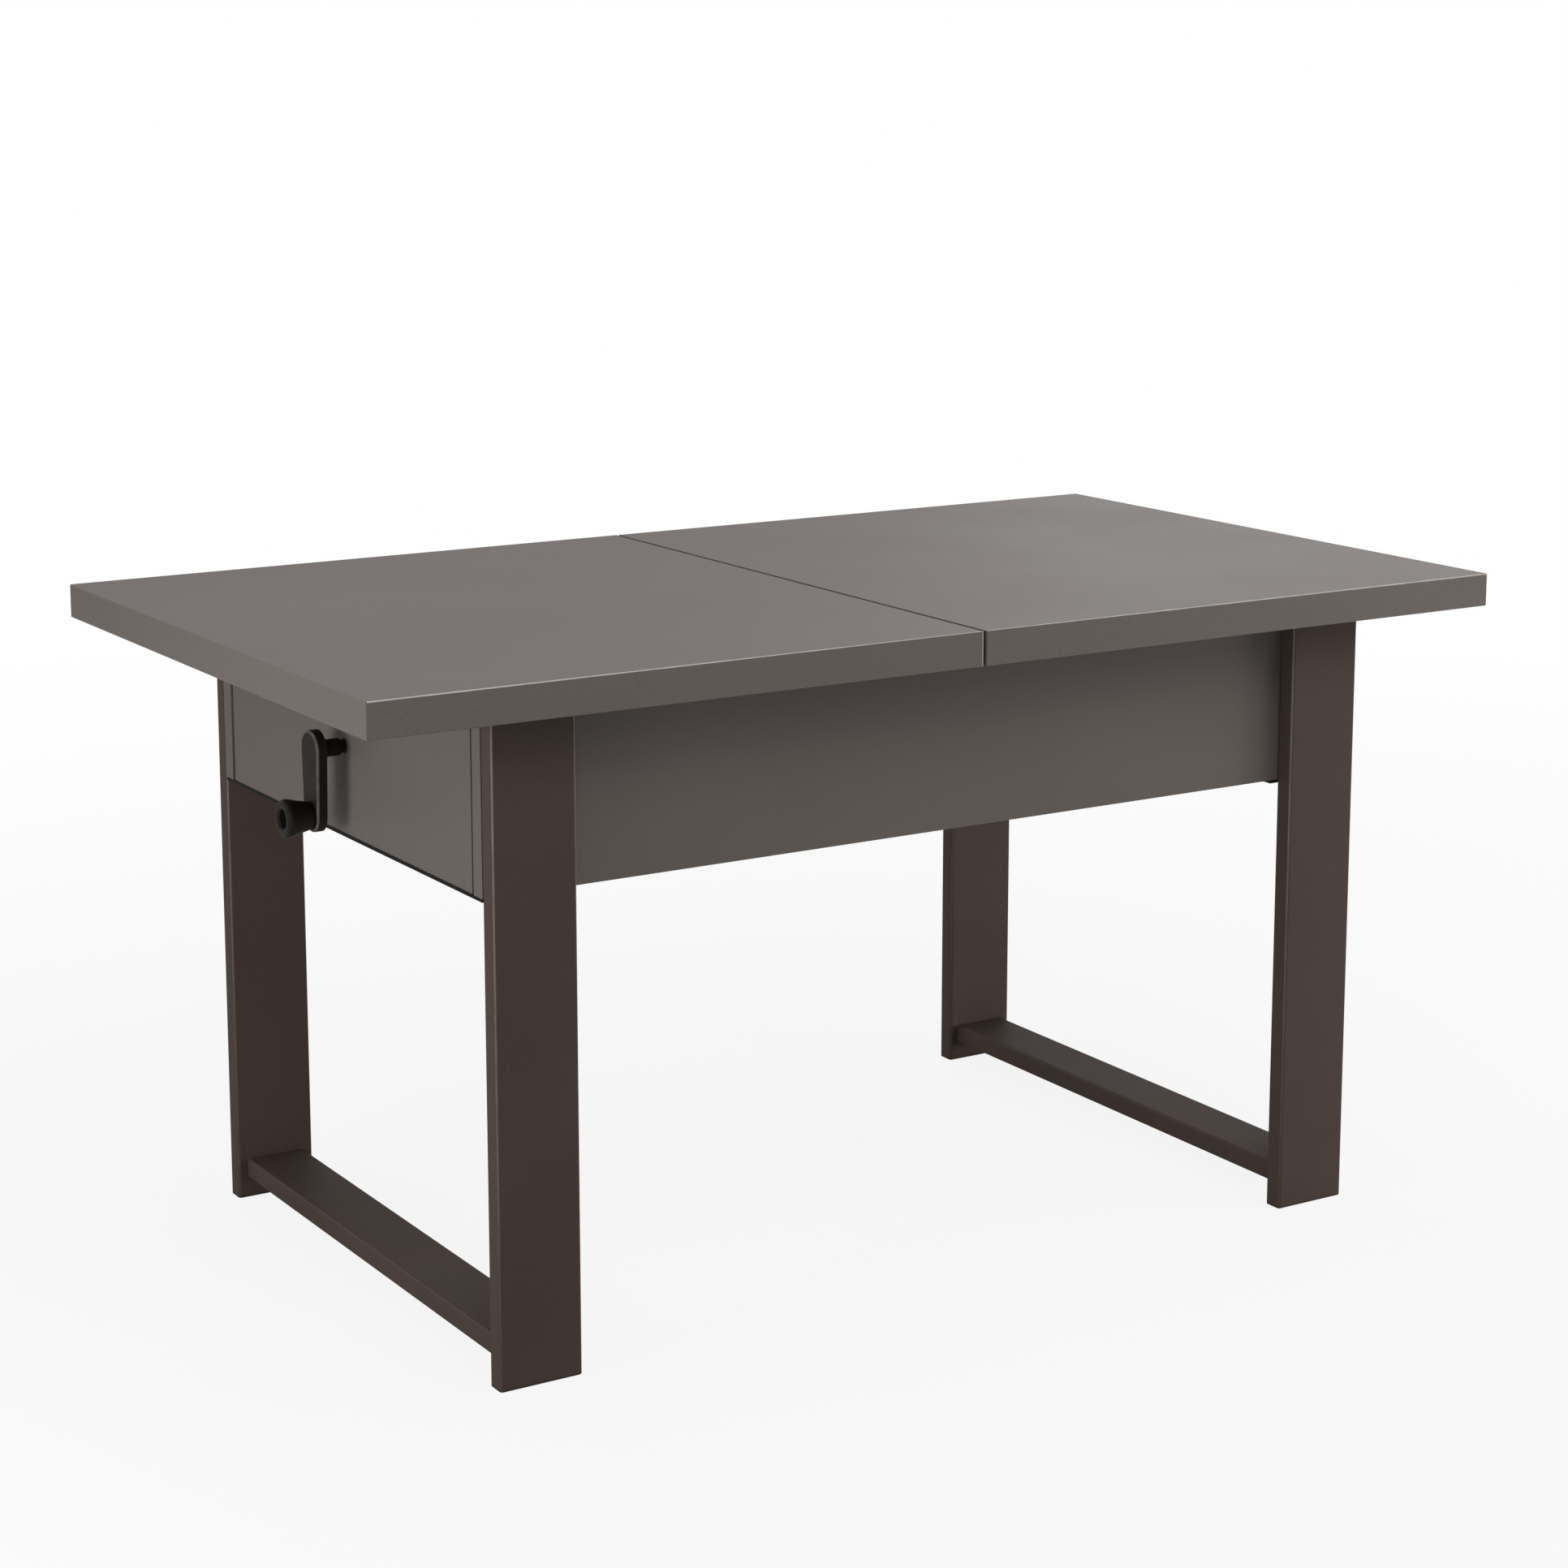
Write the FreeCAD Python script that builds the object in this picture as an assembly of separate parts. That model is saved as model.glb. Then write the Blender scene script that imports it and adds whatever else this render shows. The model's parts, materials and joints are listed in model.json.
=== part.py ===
# Convertible coffee table: crank-lifted top in two sliding halves, folded leaf stored in the box below.
# Millimetres, +Z up, origin on the floor under the middle, +X along the length, crank at the -X end.
import math
import os

import FreeCAD
import Part

V = FreeCAD.Vector
X_AXIS = V(1, 0, 0)
Y_AXIS = V(0, 1, 0)
Z_AXIS = V(0, 0, 1)
SIDES = {"left": -1, "right": 1}
FACES = {"front": -1, "back": 1}

# Table top
table_length = 1200.0
table_width = 670.0
table_height = 624.0
top_thickness = 32.0
seam_gap = 3.0
board_edge_radius = 1.2

# Travels of the top
lift_travel = 96.0
slide_travel = 200.0

# Leg frames of flat rectangular tube
frame_length = 940.0
frame_width = 590.0
leg_width = 80.0
leg_depth = 20.0
leg_wall = 2.0
leg_corner = 3.5
foot_flange = 2.0
foot_edge_radius = 1.5
foot_plug = 18.0
cap_thickness = 2.0
stretcher_width = 60.0
stretcher_height = 20.0
stretcher_lift = 20.0
stretcher_wall = 2.0
stretcher_corner = 3.0
plate_thickness = 3.0
plate_overhang = 8.0

# Box under the top
box_gap = 6.0
apron_height = 155.0
apron_thickness = 16.0
end_thickness = 15.0
end_recess = 1.0
floor_thickness = 6.0
panel_edge_radius = 0.8
notch_clearance = 3.0
crank_hole_clearance = 1.0
batten_width = 24.0
batten_height = 18.0
batten_spacing = 260.0

# Corner guides of the lifting frame
sleeve_side = 36.0
sleeve_wall = 2.0
sleeve_corner = 3.0
sleeve_drop = 6.0
guide_clearance = 0.4
post_wall = 2.0
post_floor_gap = 3.0
bracket_thickness = 4.0
bracket_lap = 30.0

# Slide rails on the lifting frame and runners under the top halves
rail_sleeve_gap = 8.0
rail_end_gap = 6.0
rail_width = 30.0
rail_height = 16.0
rail_wall = 2.0
rail_slot = 12.0
slide_clearance = 0.3
runner_gap = 1.0
runner_flange = 3.0
runner_flange_width = 28.0
runner_start = 12.0
runner_overrun = 28.0
crossbar_width = 30.0
crossbar_height = 14.0

# Lift screws and nuts
screw_rail_inset = 112.0
screw_diameter = 14.0
screw_lead = 4.0
thread_depth = 1.2
thread_crest_share = 0.35
journal_diameter = 10.0
collar_diameter = 22.0
collar_height = 3.7
running_clearance = 0.05
axial_clearance = 0.3
nut_height = 14.0
nut_seat_gap = 1.0
tube_diameter = 26.0
tube_bore = 18.4

# Gear train from the crank down to the long shaft
gear_module = 1.5
crank_teeth = 56
main_teeth = 20
gear_width = 16.0
pressure_angle = 20.0
gear_backlash = 0.30
addendum_share = 0.95
dedendum_share = 1.25
flank_steps = 4
shaft_diameter = 8.0
shaft_tail = 30.0
crank_shaft_diameter = 12.0
gearbox_plate = 4.0
gearbox_depth = 33.0
gearbox_half_width = 54.0
gearbox_height = 124.0
gearbox_post_diameter = 9.0
gearbox_post_inset = 9.0

# Mitre bevels between the long shaft and the lift screws
bevel_module = 1.25
bevel_teeth = 16
bevel_face = 4.0
bevel_backlash = 0.30
bevel_addendum = 0.9
bevel_dedendum = 1.3
bevel_hub_length = 5.5
bevel_hub_diameter = 17.0
stand_wall = 3.0
stand_half_length = 24.0
stand_half_width = 22.0
stand_foot = 14.0
stand_top_gap = 0.5
shaft_floor_gap = 18.0

# Crank
crank_throw = 60.0
crank_standoff = 5.0
hub_sleeve_diameter = 16.0
hub_sleeve_length = 17.0
hub_neck_diameter = 13.0
hub_neck_length = 2.0
arm_thickness = 10.0
arm_hub_radius = 18.0
arm_tip_radius = 15.5
arm_bevel = 2.0
arm_spigot_diameter = 10.0
knob_length = 28.0
knob_outer_diameter = 35.0
knob_inner_diameter = 25.0
knob_bore_diameter = 17.6
knob_bore_depth = 22.0
knob_rim = 3.0
pin_diameter = 8.0
pin_clearance = 0.08
pin_head_diameter = 15.0
pin_head_height = 3.0

# Folded leaf
leaf_hinge_gap = 3.0
leaf_fold_gap = 0.5
leaf_shaft_gap = 41.0
leaf_hinge_spacing = 240.0
leaf_hinge_length = 60.0
leaf_hinge_plate = 1.2
leaf_hinge_reach = 24.0
leaf_knuckle_radius = 2.5

# Fasteners
bolt_diameter = 6.0
bolt_head_diameter = 10.0
bolt_head_height = 5.0
bolt_reach = 10.0
bolt_edge = 14.0
bolt_rise = 29.0
dowel_diameter = 8.0
dowel_length = 24.0
dowel_clearance = 0.2
dowel_row_spacing = 220.0
wood_screw_diameter = 4.0
wood_screw_head_diameter = 7.6
wood_screw_head_height = 2.2
wood_screw_length = 18.0
plate_screw_spacing = 56.0
runner_screw_count = 4
runner_screw_margin = 40.0

# One overrun for every cut that passes through a face
overrun = 5.0

# Levels, from the top down
underside = table_height - top_thickness
rail_top = underside - runner_flange - runner_gap
rail_bottom = rail_top - rail_height
box_top = underside - box_gap
box_bottom = box_top - apron_height
floor_top = box_bottom + floor_thickness
plate_bottom = box_bottom - plate_thickness
shaft_level = floor_top + shaft_floor_gap
crank_level = shaft_level + gear_module * (crank_teeth + main_teeth) / 2
crossbar_bottom = rail_bottom - crossbar_height
leaf_bottom = shaft_level + shaft_diameter / 2 + leaf_shaft_gap

# Plan positions
frame_end = frame_length / 2
apron_outside = frame_width / 2 - leg_depth
apron_inside = apron_outside - apron_thickness
end_outside = frame_end - end_recess
end_inside = end_outside - end_thickness
leg_middle = frame_end - leg_width / 2
sleeve_x = end_inside - sleeve_side / 2
sleeve_y = apron_inside - sleeve_side / 2
post_side = sleeve_side - 2 * sleeve_wall - 2 * guide_clearance
rail_outside = sleeve_y - sleeve_side / 2 - rail_sleeve_gap
rail_y = rail_outside - rail_width / 2
rail_end = sleeve_x - sleeve_side / 2 - rail_end_gap
screw_x = rail_end - screw_rail_inset


def box(x0, x1, y0, y1, z0, z1):
    low = V(min(x0, x1), min(y0, y1), min(z0, z1))
    return Part.makeBox(abs(x1 - x0), abs(y1 - y0), abs(z1 - z0), low)


def rod(radius, start, axis, length):
    return Part.makeCylinder(radius, length, start, axis)


def edges_along(shape, axis):
    return [e for e in shape.Edges if abs(e.tangentAt(e.FirstParameter).dot(axis)) > 0.999]


def soften(shape, radius, axis=None):
    edges = shape.Edges if axis is None else edges_along(shape, axis)
    return shape.makeFillet(radius, edges)


def tube(x0, x1, y0, y1, z0, z1, axis, wall, corner):
    # Square-cut rectangular tube with rounded long edges, open at both ends of its axis
    outer = soften(box(x0, x1, y0, y1, z0, z1), corner, axis)
    inset = [0 if axis[i] else wall for i in range(3)]
    past = [overrun if axis[i] else 0 for i in range(3)]
    low = [v + i - p for v, i, p in zip((x0, y0, z0), inset, past)]
    high = [v - i + p for v, i, p in zip((x1, y1, z1), inset, past)]
    inner = box(low[0], high[0], low[1], high[1], low[2], high[2])
    if corner > wall:
        inner = soften(inner, corner - wall, axis)
    return outer.cut(inner)


def turned(profile, origin, axis):
    # Solid of revolution from (radius, distance along axis) points
    points = [V(r, 0, d) for r, d in profile]
    face = Part.Face(Part.makePolygon(points + [points[0]]))
    solid = face.revolve(V(0, 0, 0), Z_AXIS, 360)
    solid.Placement = FreeCAD.Placement(origin, FreeCAD.Rotation(Z_AXIS, axis))
    return solid


def save(name, *solids):
    shape = solids[0] if len(solids) == 1 else Part.makeCompound(list(solids))
    os.makedirs("parts", exist_ok=True)
    shape.exportStep("parts/" + name + ".step")


# Fasteners, each as the solid that is also cut from what it passes through

def leg_bolts():
    bolts = []
    for sx in SIDES.values():
        for sy in FACES.values():
            for level in (box_bottom + bolt_rise, box_top - bolt_rise):
                x = sx * (frame_end - leg_width + bolt_edge)
                seat = V(x, sy * apron_inside, level)
                head = rod(bolt_head_diameter / 2, seat, V(0, -sy, 0), bolt_head_height)
                shank = rod(bolt_diameter / 2, seat, V(0, sy, 0), apron_thickness + leg_wall + bolt_reach)
                bolts.append(head.fuse(shank).removeSplitter())
    return bolts


def carcass_dowels():
    dowels = []
    for sx in SIDES.values():
        for sy in FACES.values():
            for level in (box_bottom + bolt_rise, box_top - bolt_rise):
                x = sx * (end_inside + end_thickness / 2)
                start = V(x, sy * (apron_inside - dowel_length / 2), level)
                dowels.append(rod(dowel_diameter / 2, start, V(0, sy, 0), dowel_length))
    return dowels


def plate_screws():
    screws = []
    for sx in SIDES.values():
        for sy in FACES.values():
            for shift in (-plate_screw_spacing / 2, plate_screw_spacing / 2):
                seat = V(sx * leg_middle + shift, sy * (apron_inside + apron_thickness / 2), plate_bottom)
                head = rod(wood_screw_head_diameter / 2, seat, -Z_AXIS, wood_screw_head_height)
                shank = rod(wood_screw_diameter / 2, seat, Z_AXIS, plate_thickness + wood_screw_length)
                screws.append(head.fuse(shank).removeSplitter())
    return screws


def runner_screws(sx):
    screws = []
    first = runner_start + runner_screw_margin
    last = rail_end + runner_overrun - runner_screw_margin
    step = (last - first) / (runner_screw_count - 1)
    reach = (rail_slot + runner_flange_width) / 4
    for sy in FACES.values():
        for n in range(runner_screw_count):
            side = 1 if n % 2 else -1
            seat = V(sx * (first + n * step), sy * rail_y + side * reach, underside - runner_flange)
            head = Part.makeCone(wood_screw_head_diameter / 2, wood_screw_diameter / 2,
                                 wood_screw_head_height, seat, Z_AXIS)
            shank = rod(wood_screw_diameter / 2, seat, Z_AXIS, wood_screw_length)
            screws.append(head.fuse(shank).removeSplitter())
    return screws


def seam_dowels(radius, past=0):
    dowels = []
    for y in (-dowel_row_spacing, 0, dowel_row_spacing):
        start = V(-dowel_length / 2 - past, y, underside + top_thickness / 2)
        dowels.append(rod(radius, start, X_AXIS, dowel_length + past))
    return dowels


# Leg frames

def make_leg(sx, sy):
    x0 = sx * (frame_end - leg_width)
    y0 = sy * apron_outside
    x1 = sx * frame_end
    y1 = sy * frame_width / 2
    xs = sorted((x0, x1))
    ys = sorted((y0, y1))
    leg = tube(xs[0], xs[1], ys[0], ys[1], foot_flange, box_top - cap_thickness, Z_AXIS, leg_wall, leg_corner)
    return leg.cut(Part.makeCompound(leg_bolts()))


def leg_plug(sx, sy, flange_bottom, flange_top, plug_bottom, plug_top, soft_rim=False):
    # Flange with the tube's outline, and a plug that fills the tube's bore
    x0 = frame_end - leg_width
    outline = box(sx * x0, sx * frame_end, sy * apron_outside, sy * frame_width / 2,
                  flange_bottom, flange_top)
    outline = soften(outline, leg_corner, Z_AXIS)
    if soft_rim:
        rim = [e for e in outline.Edges if e.BoundBox.ZMax < flange_top / 2]
        outline = outline.makeFillet(foot_edge_radius, rim)
    plug = box(sx * (x0 + leg_wall), sx * (frame_end - leg_wall), sy * (apron_outside + leg_wall),
               sy * (frame_width / 2 - leg_wall), plug_bottom, plug_top)
    plug = soften(plug, leg_corner - leg_wall, Z_AXIS)
    return outline.fuse(plug).removeSplitter()


def make_stretcher(sx):
    x0, x1 = sorted((sx * (leg_middle - stretcher_width / 2), sx * (leg_middle + stretcher_width / 2)))
    return tube(x0, x1, -apron_outside, apron_outside, stretcher_lift, stretcher_lift + stretcher_height,
                Y_AXIS, stretcher_wall, stretcher_corner)


def make_cross_plate(sx):
    plate = box(sx * (frame_end - leg_width - plate_overhang), sx * frame_end,
                -apron_outside, apron_outside, plate_bottom, box_bottom)
    return plate.cut(Part.makeCompound(plate_screws()))


# Box

def make_apron(sy):
    apron = box(-frame_end, frame_end, sy * apron_inside, sy * apron_outside, box_bottom, box_top)
    apron = soften(apron, panel_edge_radius)
    return apron.cut(Part.makeCompound(leg_bolts() + carcass_dowels() + plate_screws()))


def make_end_panel(sx):
    panel = box(sx * end_inside, sx * end_outside, -apron_inside, apron_inside, box_bottom, box_top)
    notch_half = rail_width / 2 + notch_clearance
    for sy in FACES.values():
        notch = box(sx * (end_inside - overrun), sx * (end_outside + overrun), sy * rail_y - notch_half,
                    sy * rail_y + notch_half, rail_bottom - notch_clearance, box_top + overrun)
        panel = panel.cut(notch)
    if sx == SIDES["left"]:
        hole = rod(crank_shaft_diameter / 2 + crank_hole_clearance, V(-end_outside - overrun, 0, crank_level),
                   X_AXIS, end_thickness + 2 * overrun)
        panel = panel.cut(hole)
    return panel.cut(Part.makeCompound(carcass_dowels()))


def make_box_floor():
    return box(-end_inside, end_inside, -apron_inside, apron_inside, box_bottom, floor_top)


def make_battens():
    battens = []
    for sx in SIDES.values():
        x = sx * batten_spacing / 2
        battens.append(box(x - batten_width / 2, x + batten_width / 2, -apron_inside, apron_inside,
                           leaf_bottom - batten_height, leaf_bottom))
    return battens


# Corner guides and lifting frame

def make_sleeve(sx, sy):
    half = sleeve_side / 2
    return tube(sx * sleeve_x - half, sx * sleeve_x + half, sy * sleeve_y - half, sy * sleeve_y + half,
                floor_top, box_top - sleeve_drop, Z_AXIS, sleeve_wall, sleeve_corner)


def make_post(sx, sy):
    half = post_side / 2
    corner = sleeve_corner - sleeve_wall + guide_clearance
    return tube(sx * sleeve_x - half, sx * sleeve_x + half, sy * sleeve_y - half, sy * sleeve_y + half,
                floor_top + post_floor_gap, rail_top - bracket_thickness, Z_AXIS, post_wall, corner)


def make_bracket(sx, sy):
    return box(sx * (rail_end - bracket_lap), sx * (sleeve_x + post_side / 2), sy * rail_outside,
               sy * (sleeve_y + post_side / 2), rail_top - bracket_thickness, rail_top)


def make_rail(sy):
    y = sy * rail_y
    half = rail_width / 2
    rail = box(-rail_end, rail_end, y - half, y + half, rail_bottom, rail_top)
    hollow = box(-rail_end - overrun, rail_end + overrun, y - half + rail_wall, y + half - rail_wall,
                 rail_bottom + rail_wall, rail_top - rail_wall)
    slot = box(-rail_end - overrun, rail_end + overrun, y - rail_slot / 2, y + rail_slot / 2,
               rail_top - rail_wall - overrun, rail_top + overrun)
    return rail.cut(hollow).cut(slot)


def make_crossbar(sx):
    bar = box(sx * screw_x - crossbar_width / 2, sx * screw_x + crossbar_width / 2,
              -rail_outside, rail_outside,
              crossbar_bottom, rail_bottom)
    hole = rod(tube_bore / 2, V(sx * screw_x, 0, crossbar_bottom - overrun), Z_AXIS,
               crossbar_height + 2 * overrun)
    return bar.cut(hole)


# Lift screws, their nuts and stands

bevel_pitch_radius = bevel_module * bevel_teeth / 2
stand_top = shaft_level + bevel_pitch_radius + bevel_hub_length + stand_top_gap + stand_wall
collar_bottom = stand_top + axial_clearance
nut_bottom = collar_bottom + collar_height + nut_seat_gap


def make_lift_screw(sx):
    bottom = shaft_level + bevel_pitch_radius - bevel_face
    top = nut_bottom + nut_height + lift_travel
    thread_bottom = collar_bottom + collar_height
    crest = screw_diameter / 2
    root = crest - thread_depth
    flank = screw_lead * (1 - 2 * thread_crest_share) / 2
    profile = [(0, bottom), (journal_diameter / 2, bottom), (journal_diameter / 2, collar_bottom),
               (collar_diameter / 2, collar_bottom), (collar_diameter / 2, thread_bottom),
               (root, thread_bottom)]
    turns = int((top - thread_bottom) / screw_lead)
    for n in range(turns):
        start = thread_bottom + n * screw_lead
        profile.append((root, start + screw_lead * thread_crest_share))
        profile.append((crest, start + screw_lead * thread_crest_share + flank))
        profile.append((crest, start + screw_lead - flank))
        profile.append((root, start + screw_lead))
    end = thread_bottom + turns * screw_lead
    profile.append((root, max(top, end)))
    profile.append((0, max(top, end)))
    return turned(drop_repeats(profile), V(sx * screw_x, 0, 0), Z_AXIS)


def drop_repeats(points):
    kept = []
    for point in points:
        if not kept or math.dist(point, kept[-1]) > running_clearance / 100:
            kept.append(point)
    return kept


def make_lift_nut(sx):
    bore = screw_diameter / 2 + running_clearance
    nut_top = nut_bottom + nut_height
    profile = [(bore, nut_bottom), (tube_diameter / 2, nut_bottom), (tube_diameter / 2, crossbar_bottom),
               (tube_bore / 2, crossbar_bottom), (tube_bore / 2, nut_top), (bore, nut_top)]
    return turned(profile, V(sx * screw_x, 0, 0), Z_AXIS)


def make_stand(sx):
    x = sx * screw_x
    outside = box(x - stand_half_length, x + stand_half_length, -stand_half_width, stand_half_width,
                  floor_top, stand_top)
    inside = box(x - stand_half_length + stand_wall, x + stand_half_length - stand_wall,
                 -stand_half_width - overrun, stand_half_width + overrun,
                 floor_top - overrun, stand_top - stand_wall)
    foot = box(x - stand_half_length - stand_foot, x + stand_half_length + stand_foot,
               -stand_half_width, stand_half_width, floor_top, floor_top + stand_wall)
    stand = outside.fuse(foot).cut(inside).removeSplitter()
    journal = rod(journal_diameter / 2 + running_clearance, V(x, 0, stand_top - stand_wall - overrun), Z_AXIS,
                  stand_wall + 2 * overrun)
    through = 2 * (stand_half_length + overrun)
    shaft = rod(shaft_diameter / 2 + running_clearance, V(x - through / 2, 0, shaft_level), X_AXIS, through)
    return stand.cut(journal).cut(shaft)


# Gears

def involute_points(teeth, module, half_pitch_turned):
    pitch = module * teeth / 2
    base = pitch * math.cos(math.radians(pressure_angle))
    tip = pitch + addendum_share * module
    root = pitch - dedendum_share * module
    start = max(base, root)
    thickness = math.pi * module / 2 - gear_backlash / 2
    turn = 2 * math.pi / teeth

    def involute(radius):
        angle = math.acos(min(1, base / radius))
        return math.tan(angle) - angle

    def half_angle(radius):
        return thickness / (2 * pitch) + involute(pitch) - involute(radius)

    radii = [start + (tip - start) * n / flank_steps for n in range(flank_steps + 1)]
    if root < base:
        radii.insert(0, root)
    points = []
    for tooth in range(teeth):
        middle = turn * (tooth + (0.5 if half_pitch_turned else 0))
        for radius in radii:
            a = middle - half_angle(max(radius, base))
            points.append(V(radius * math.cos(a), radius * math.sin(a), 0))
        for radius in reversed(radii):
            a = middle + half_angle(max(radius, base))
            points.append(V(radius * math.cos(a), radius * math.sin(a), 0))
    return points


def spur_gear(teeth, level, bore_diameter, half_pitch_turned):
    points = involute_points(teeth, gear_module, half_pitch_turned)
    face = Part.Face(Part.makePolygon(points + [points[0]]))
    gear = face.extrude(V(0, 0, gear_width))
    gear = gear.cut(rod(bore_diameter / 2, V(0, 0, -overrun), Z_AXIS, gear_width + 2 * overrun))
    x = -end_inside + (gearbox_depth - gear_width) / 2
    gear.Placement = FreeCAD.Placement(V(x, 0, level), FreeCAD.Rotation(Z_AXIS, X_AXIS))
    return gear


def bevel_points(scale, height, half_pitch_turned):
    # Straight-sided teeth at one end of the face, drawn towards the cone's apex by scale
    pitch = bevel_pitch_radius
    thickness = math.pi * bevel_module / 2 - bevel_backlash / 2
    lean = math.tan(math.radians(pressure_angle))
    rings = [(pitch - bevel_dedendum, thickness / 2 + bevel_dedendum * lean),
             (pitch + bevel_addendum, thickness / 2 - bevel_addendum * lean)]
    turn = 2 * math.pi / bevel_teeth
    points = []
    for tooth in range(bevel_teeth):
        middle = turn * (tooth + (0.5 if half_pitch_turned else 0))
        flank = [(r, -half / r) for r, half in rings] + [(r, half / r) for r, half in reversed(rings)]
        for radius, a in flank:
            reach = radius * scale
            points.append(V(reach * math.cos(middle + a), reach * math.sin(middle + a), height))
    return points


def bevel_gear(apex, axis, side, bore_diameter, half_pitch_turned):
    # side is the end of the axis, seen from the apex, where the gear sits
    inner_scale = 1 - bevel_face / bevel_pitch_radius
    wires = []
    for scale in (1, inner_scale):
        points = bevel_points(scale, side * bevel_pitch_radius * scale, half_pitch_turned)
        wires.append(Part.makePolygon(points + [points[0]]))
    teeth = Part.makeLoft(wires, True, True)
    hub = rod(bevel_hub_diameter / 2, V(0, 0, side * bevel_pitch_radius), V(0, 0, side), bevel_hub_length)
    reach = bevel_pitch_radius + bevel_hub_length + overrun
    bore = rod(bore_diameter / 2, V(0, 0, 0), V(0, 0, side), reach)
    gear = teeth.fuse(hub).cut(bore)
    gear.Placement = FreeCAD.Placement(apex, FreeCAD.Rotation(Z_AXIS, axis))
    return gear


def make_shaft_bevels():
    return [bevel_gear(V(sx * screw_x, 0, shaft_level), X_AXIS, -1, shaft_diameter, False)
            for sx in SIDES.values()]


def make_screw_bevel(sx):
    return bevel_gear(V(sx * screw_x, 0, shaft_level), Z_AXIS, 1, journal_diameter, True)


def make_main_shaft():
    return rod(shaft_diameter / 2, V(-end_inside, 0, shaft_level), X_AXIS, end_inside + screw_x + shaft_tail)


# Gearbox inside the crank end of the box

def gearbox_posts():
    posts = []
    length = gearbox_depth - 2 * gearbox_plate
    for sy in FACES.values():
        y = sy * (gearbox_half_width - gearbox_post_inset)
        for z in (floor_top + gearbox_post_inset, floor_top + gearbox_height - gearbox_post_inset):
            posts.append(rod(gearbox_post_diameter / 2, V(-end_inside + gearbox_plate, y, z), X_AXIS, length))
    return posts


def make_gearbox_plate(start):
    plate = box(start, start + gearbox_plate, -gearbox_half_width, gearbox_half_width,
                floor_top, floor_top + gearbox_height)
    for level, diameter in ((crank_level, crank_shaft_diameter), (shaft_level, shaft_diameter)):
        plate = plate.cut(rod(diameter / 2 + running_clearance, V(start - overrun, 0, level), X_AXIS,
                              gearbox_plate + 2 * overrun))
    return plate


# Crank, with distances along -X from the face of the end panel

sleeve_start = end_outside + crank_standoff
neck_start = sleeve_start + hub_sleeve_length
arm_start = neck_start + hub_neck_length
arm_end = arm_start + arm_thickness
knob_start = arm_end + axial_clearance
knob_level = crank_level - crank_throw


def make_crank_shaft():
    inner_end = end_inside - gearbox_depth
    profile = [(0, inner_end), (crank_shaft_diameter / 2, inner_end),
               (crank_shaft_diameter / 2, sleeve_start),
               (hub_sleeve_diameter / 2, sleeve_start), (hub_sleeve_diameter / 2, neck_start),
               (hub_neck_diameter / 2, neck_start), (hub_neck_diameter / 2, arm_start),
               (arm_spigot_diameter / 2, arm_start), (arm_spigot_diameter / 2, arm_end), (0, arm_end)]
    return turned(profile, V(0, 0, crank_level), -X_AXIS)


def make_crank_arm():
    # Two round ends of different size joined by their common tangents
    lean = math.asin((arm_hub_radius - arm_tip_radius) / crank_throw)
    ends = []
    for level, radius in ((crank_level, arm_hub_radius), (knob_level, arm_tip_radius)):
        half = radius * math.cos(lean)
        touch = level - radius * math.sin(lean)
        ends.append([V(-arm_start, sy * half, touch) for sy in (-1, 1)])
    hub_top = V(-arm_start, 0, crank_level + arm_hub_radius)
    tip_bottom = V(-arm_start, 0, knob_level - arm_tip_radius)
    (hub_a, hub_b), (tip_a, tip_b) = ends
    curves = [Part.Arc(hub_a, hub_top, hub_b), Part.LineSegment(hub_b, tip_b),
              Part.Arc(tip_b, tip_bottom, tip_a), Part.LineSegment(tip_a, hub_a)]
    outline = Part.Wire([curve.toShape() for curve in curves])
    arm = Part.Face(outline).extrude(V(-arm_thickness, 0, 0))
    outer_edges = [e for e in arm.Edges if e.BoundBox.XMax < -arm_end + arm_thickness / 2]
    arm = arm.makeChamfer(arm_bevel, outer_edges)
    for level, diameter in ((crank_level, arm_spigot_diameter), (knob_level, pin_diameter)):
        arm = arm.cut(rod(diameter / 2, V(-arm_end - overrun, 0, level), X_AXIS, arm_thickness + 2 * overrun))
    return arm


def make_crank_pin():
    seat = knob_start + knob_length - knob_bore_depth + axial_clearance
    profile = [(0, arm_start), (pin_diameter / 2, arm_start), (pin_diameter / 2, seat),
               (pin_head_diameter / 2, seat), (pin_head_diameter / 2, seat + pin_head_height),
               (0, seat + pin_head_height)]
    return turned(profile, V(0, 0, knob_level), -X_AXIS)


def make_crank_knob():
    end = knob_start + knob_length
    bore_floor = end - knob_bore_depth
    outer = knob_outer_diameter / 2
    bore = knob_bore_diameter / 2
    hole = pin_diameter / 2 + pin_clearance
    profile = [(hole, knob_start), (knob_inner_diameter / 2, knob_start), (outer, end - 2 * knob_rim),
               (outer, end - knob_rim), (outer - knob_rim, end), (bore + knob_rim / 2, end),
               (bore, end - knob_rim / 2), (bore, bore_floor), (hole, bore_floor)]
    return turned(profile, V(0, 0, knob_level), -X_AXIS)


# Sliding top halves

def make_runner(sx, sy):
    y = sy * rail_y
    x0 = sx * runner_start
    x1 = sx * (rail_end + runner_overrun)
    foot_half = rail_width / 2 - rail_wall - slide_clearance
    neck_half = rail_slot / 2 - slide_clearance
    foot_top = rail_top - rail_wall - slide_clearance
    foot = box(x0, x1, y - foot_half, y + foot_half, rail_bottom + rail_wall + slide_clearance, foot_top)
    neck = box(x0, x1, y - neck_half, y + neck_half, foot_top, underside - runner_flange)
    flange = box(x0, x1, y - runner_flange_width / 2, y + runner_flange_width / 2,
                 underside - runner_flange, underside)
    return foot.fuse([neck, flange]).removeSplitter().cut(Part.makeCompound(runner_screws(sx)))


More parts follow.
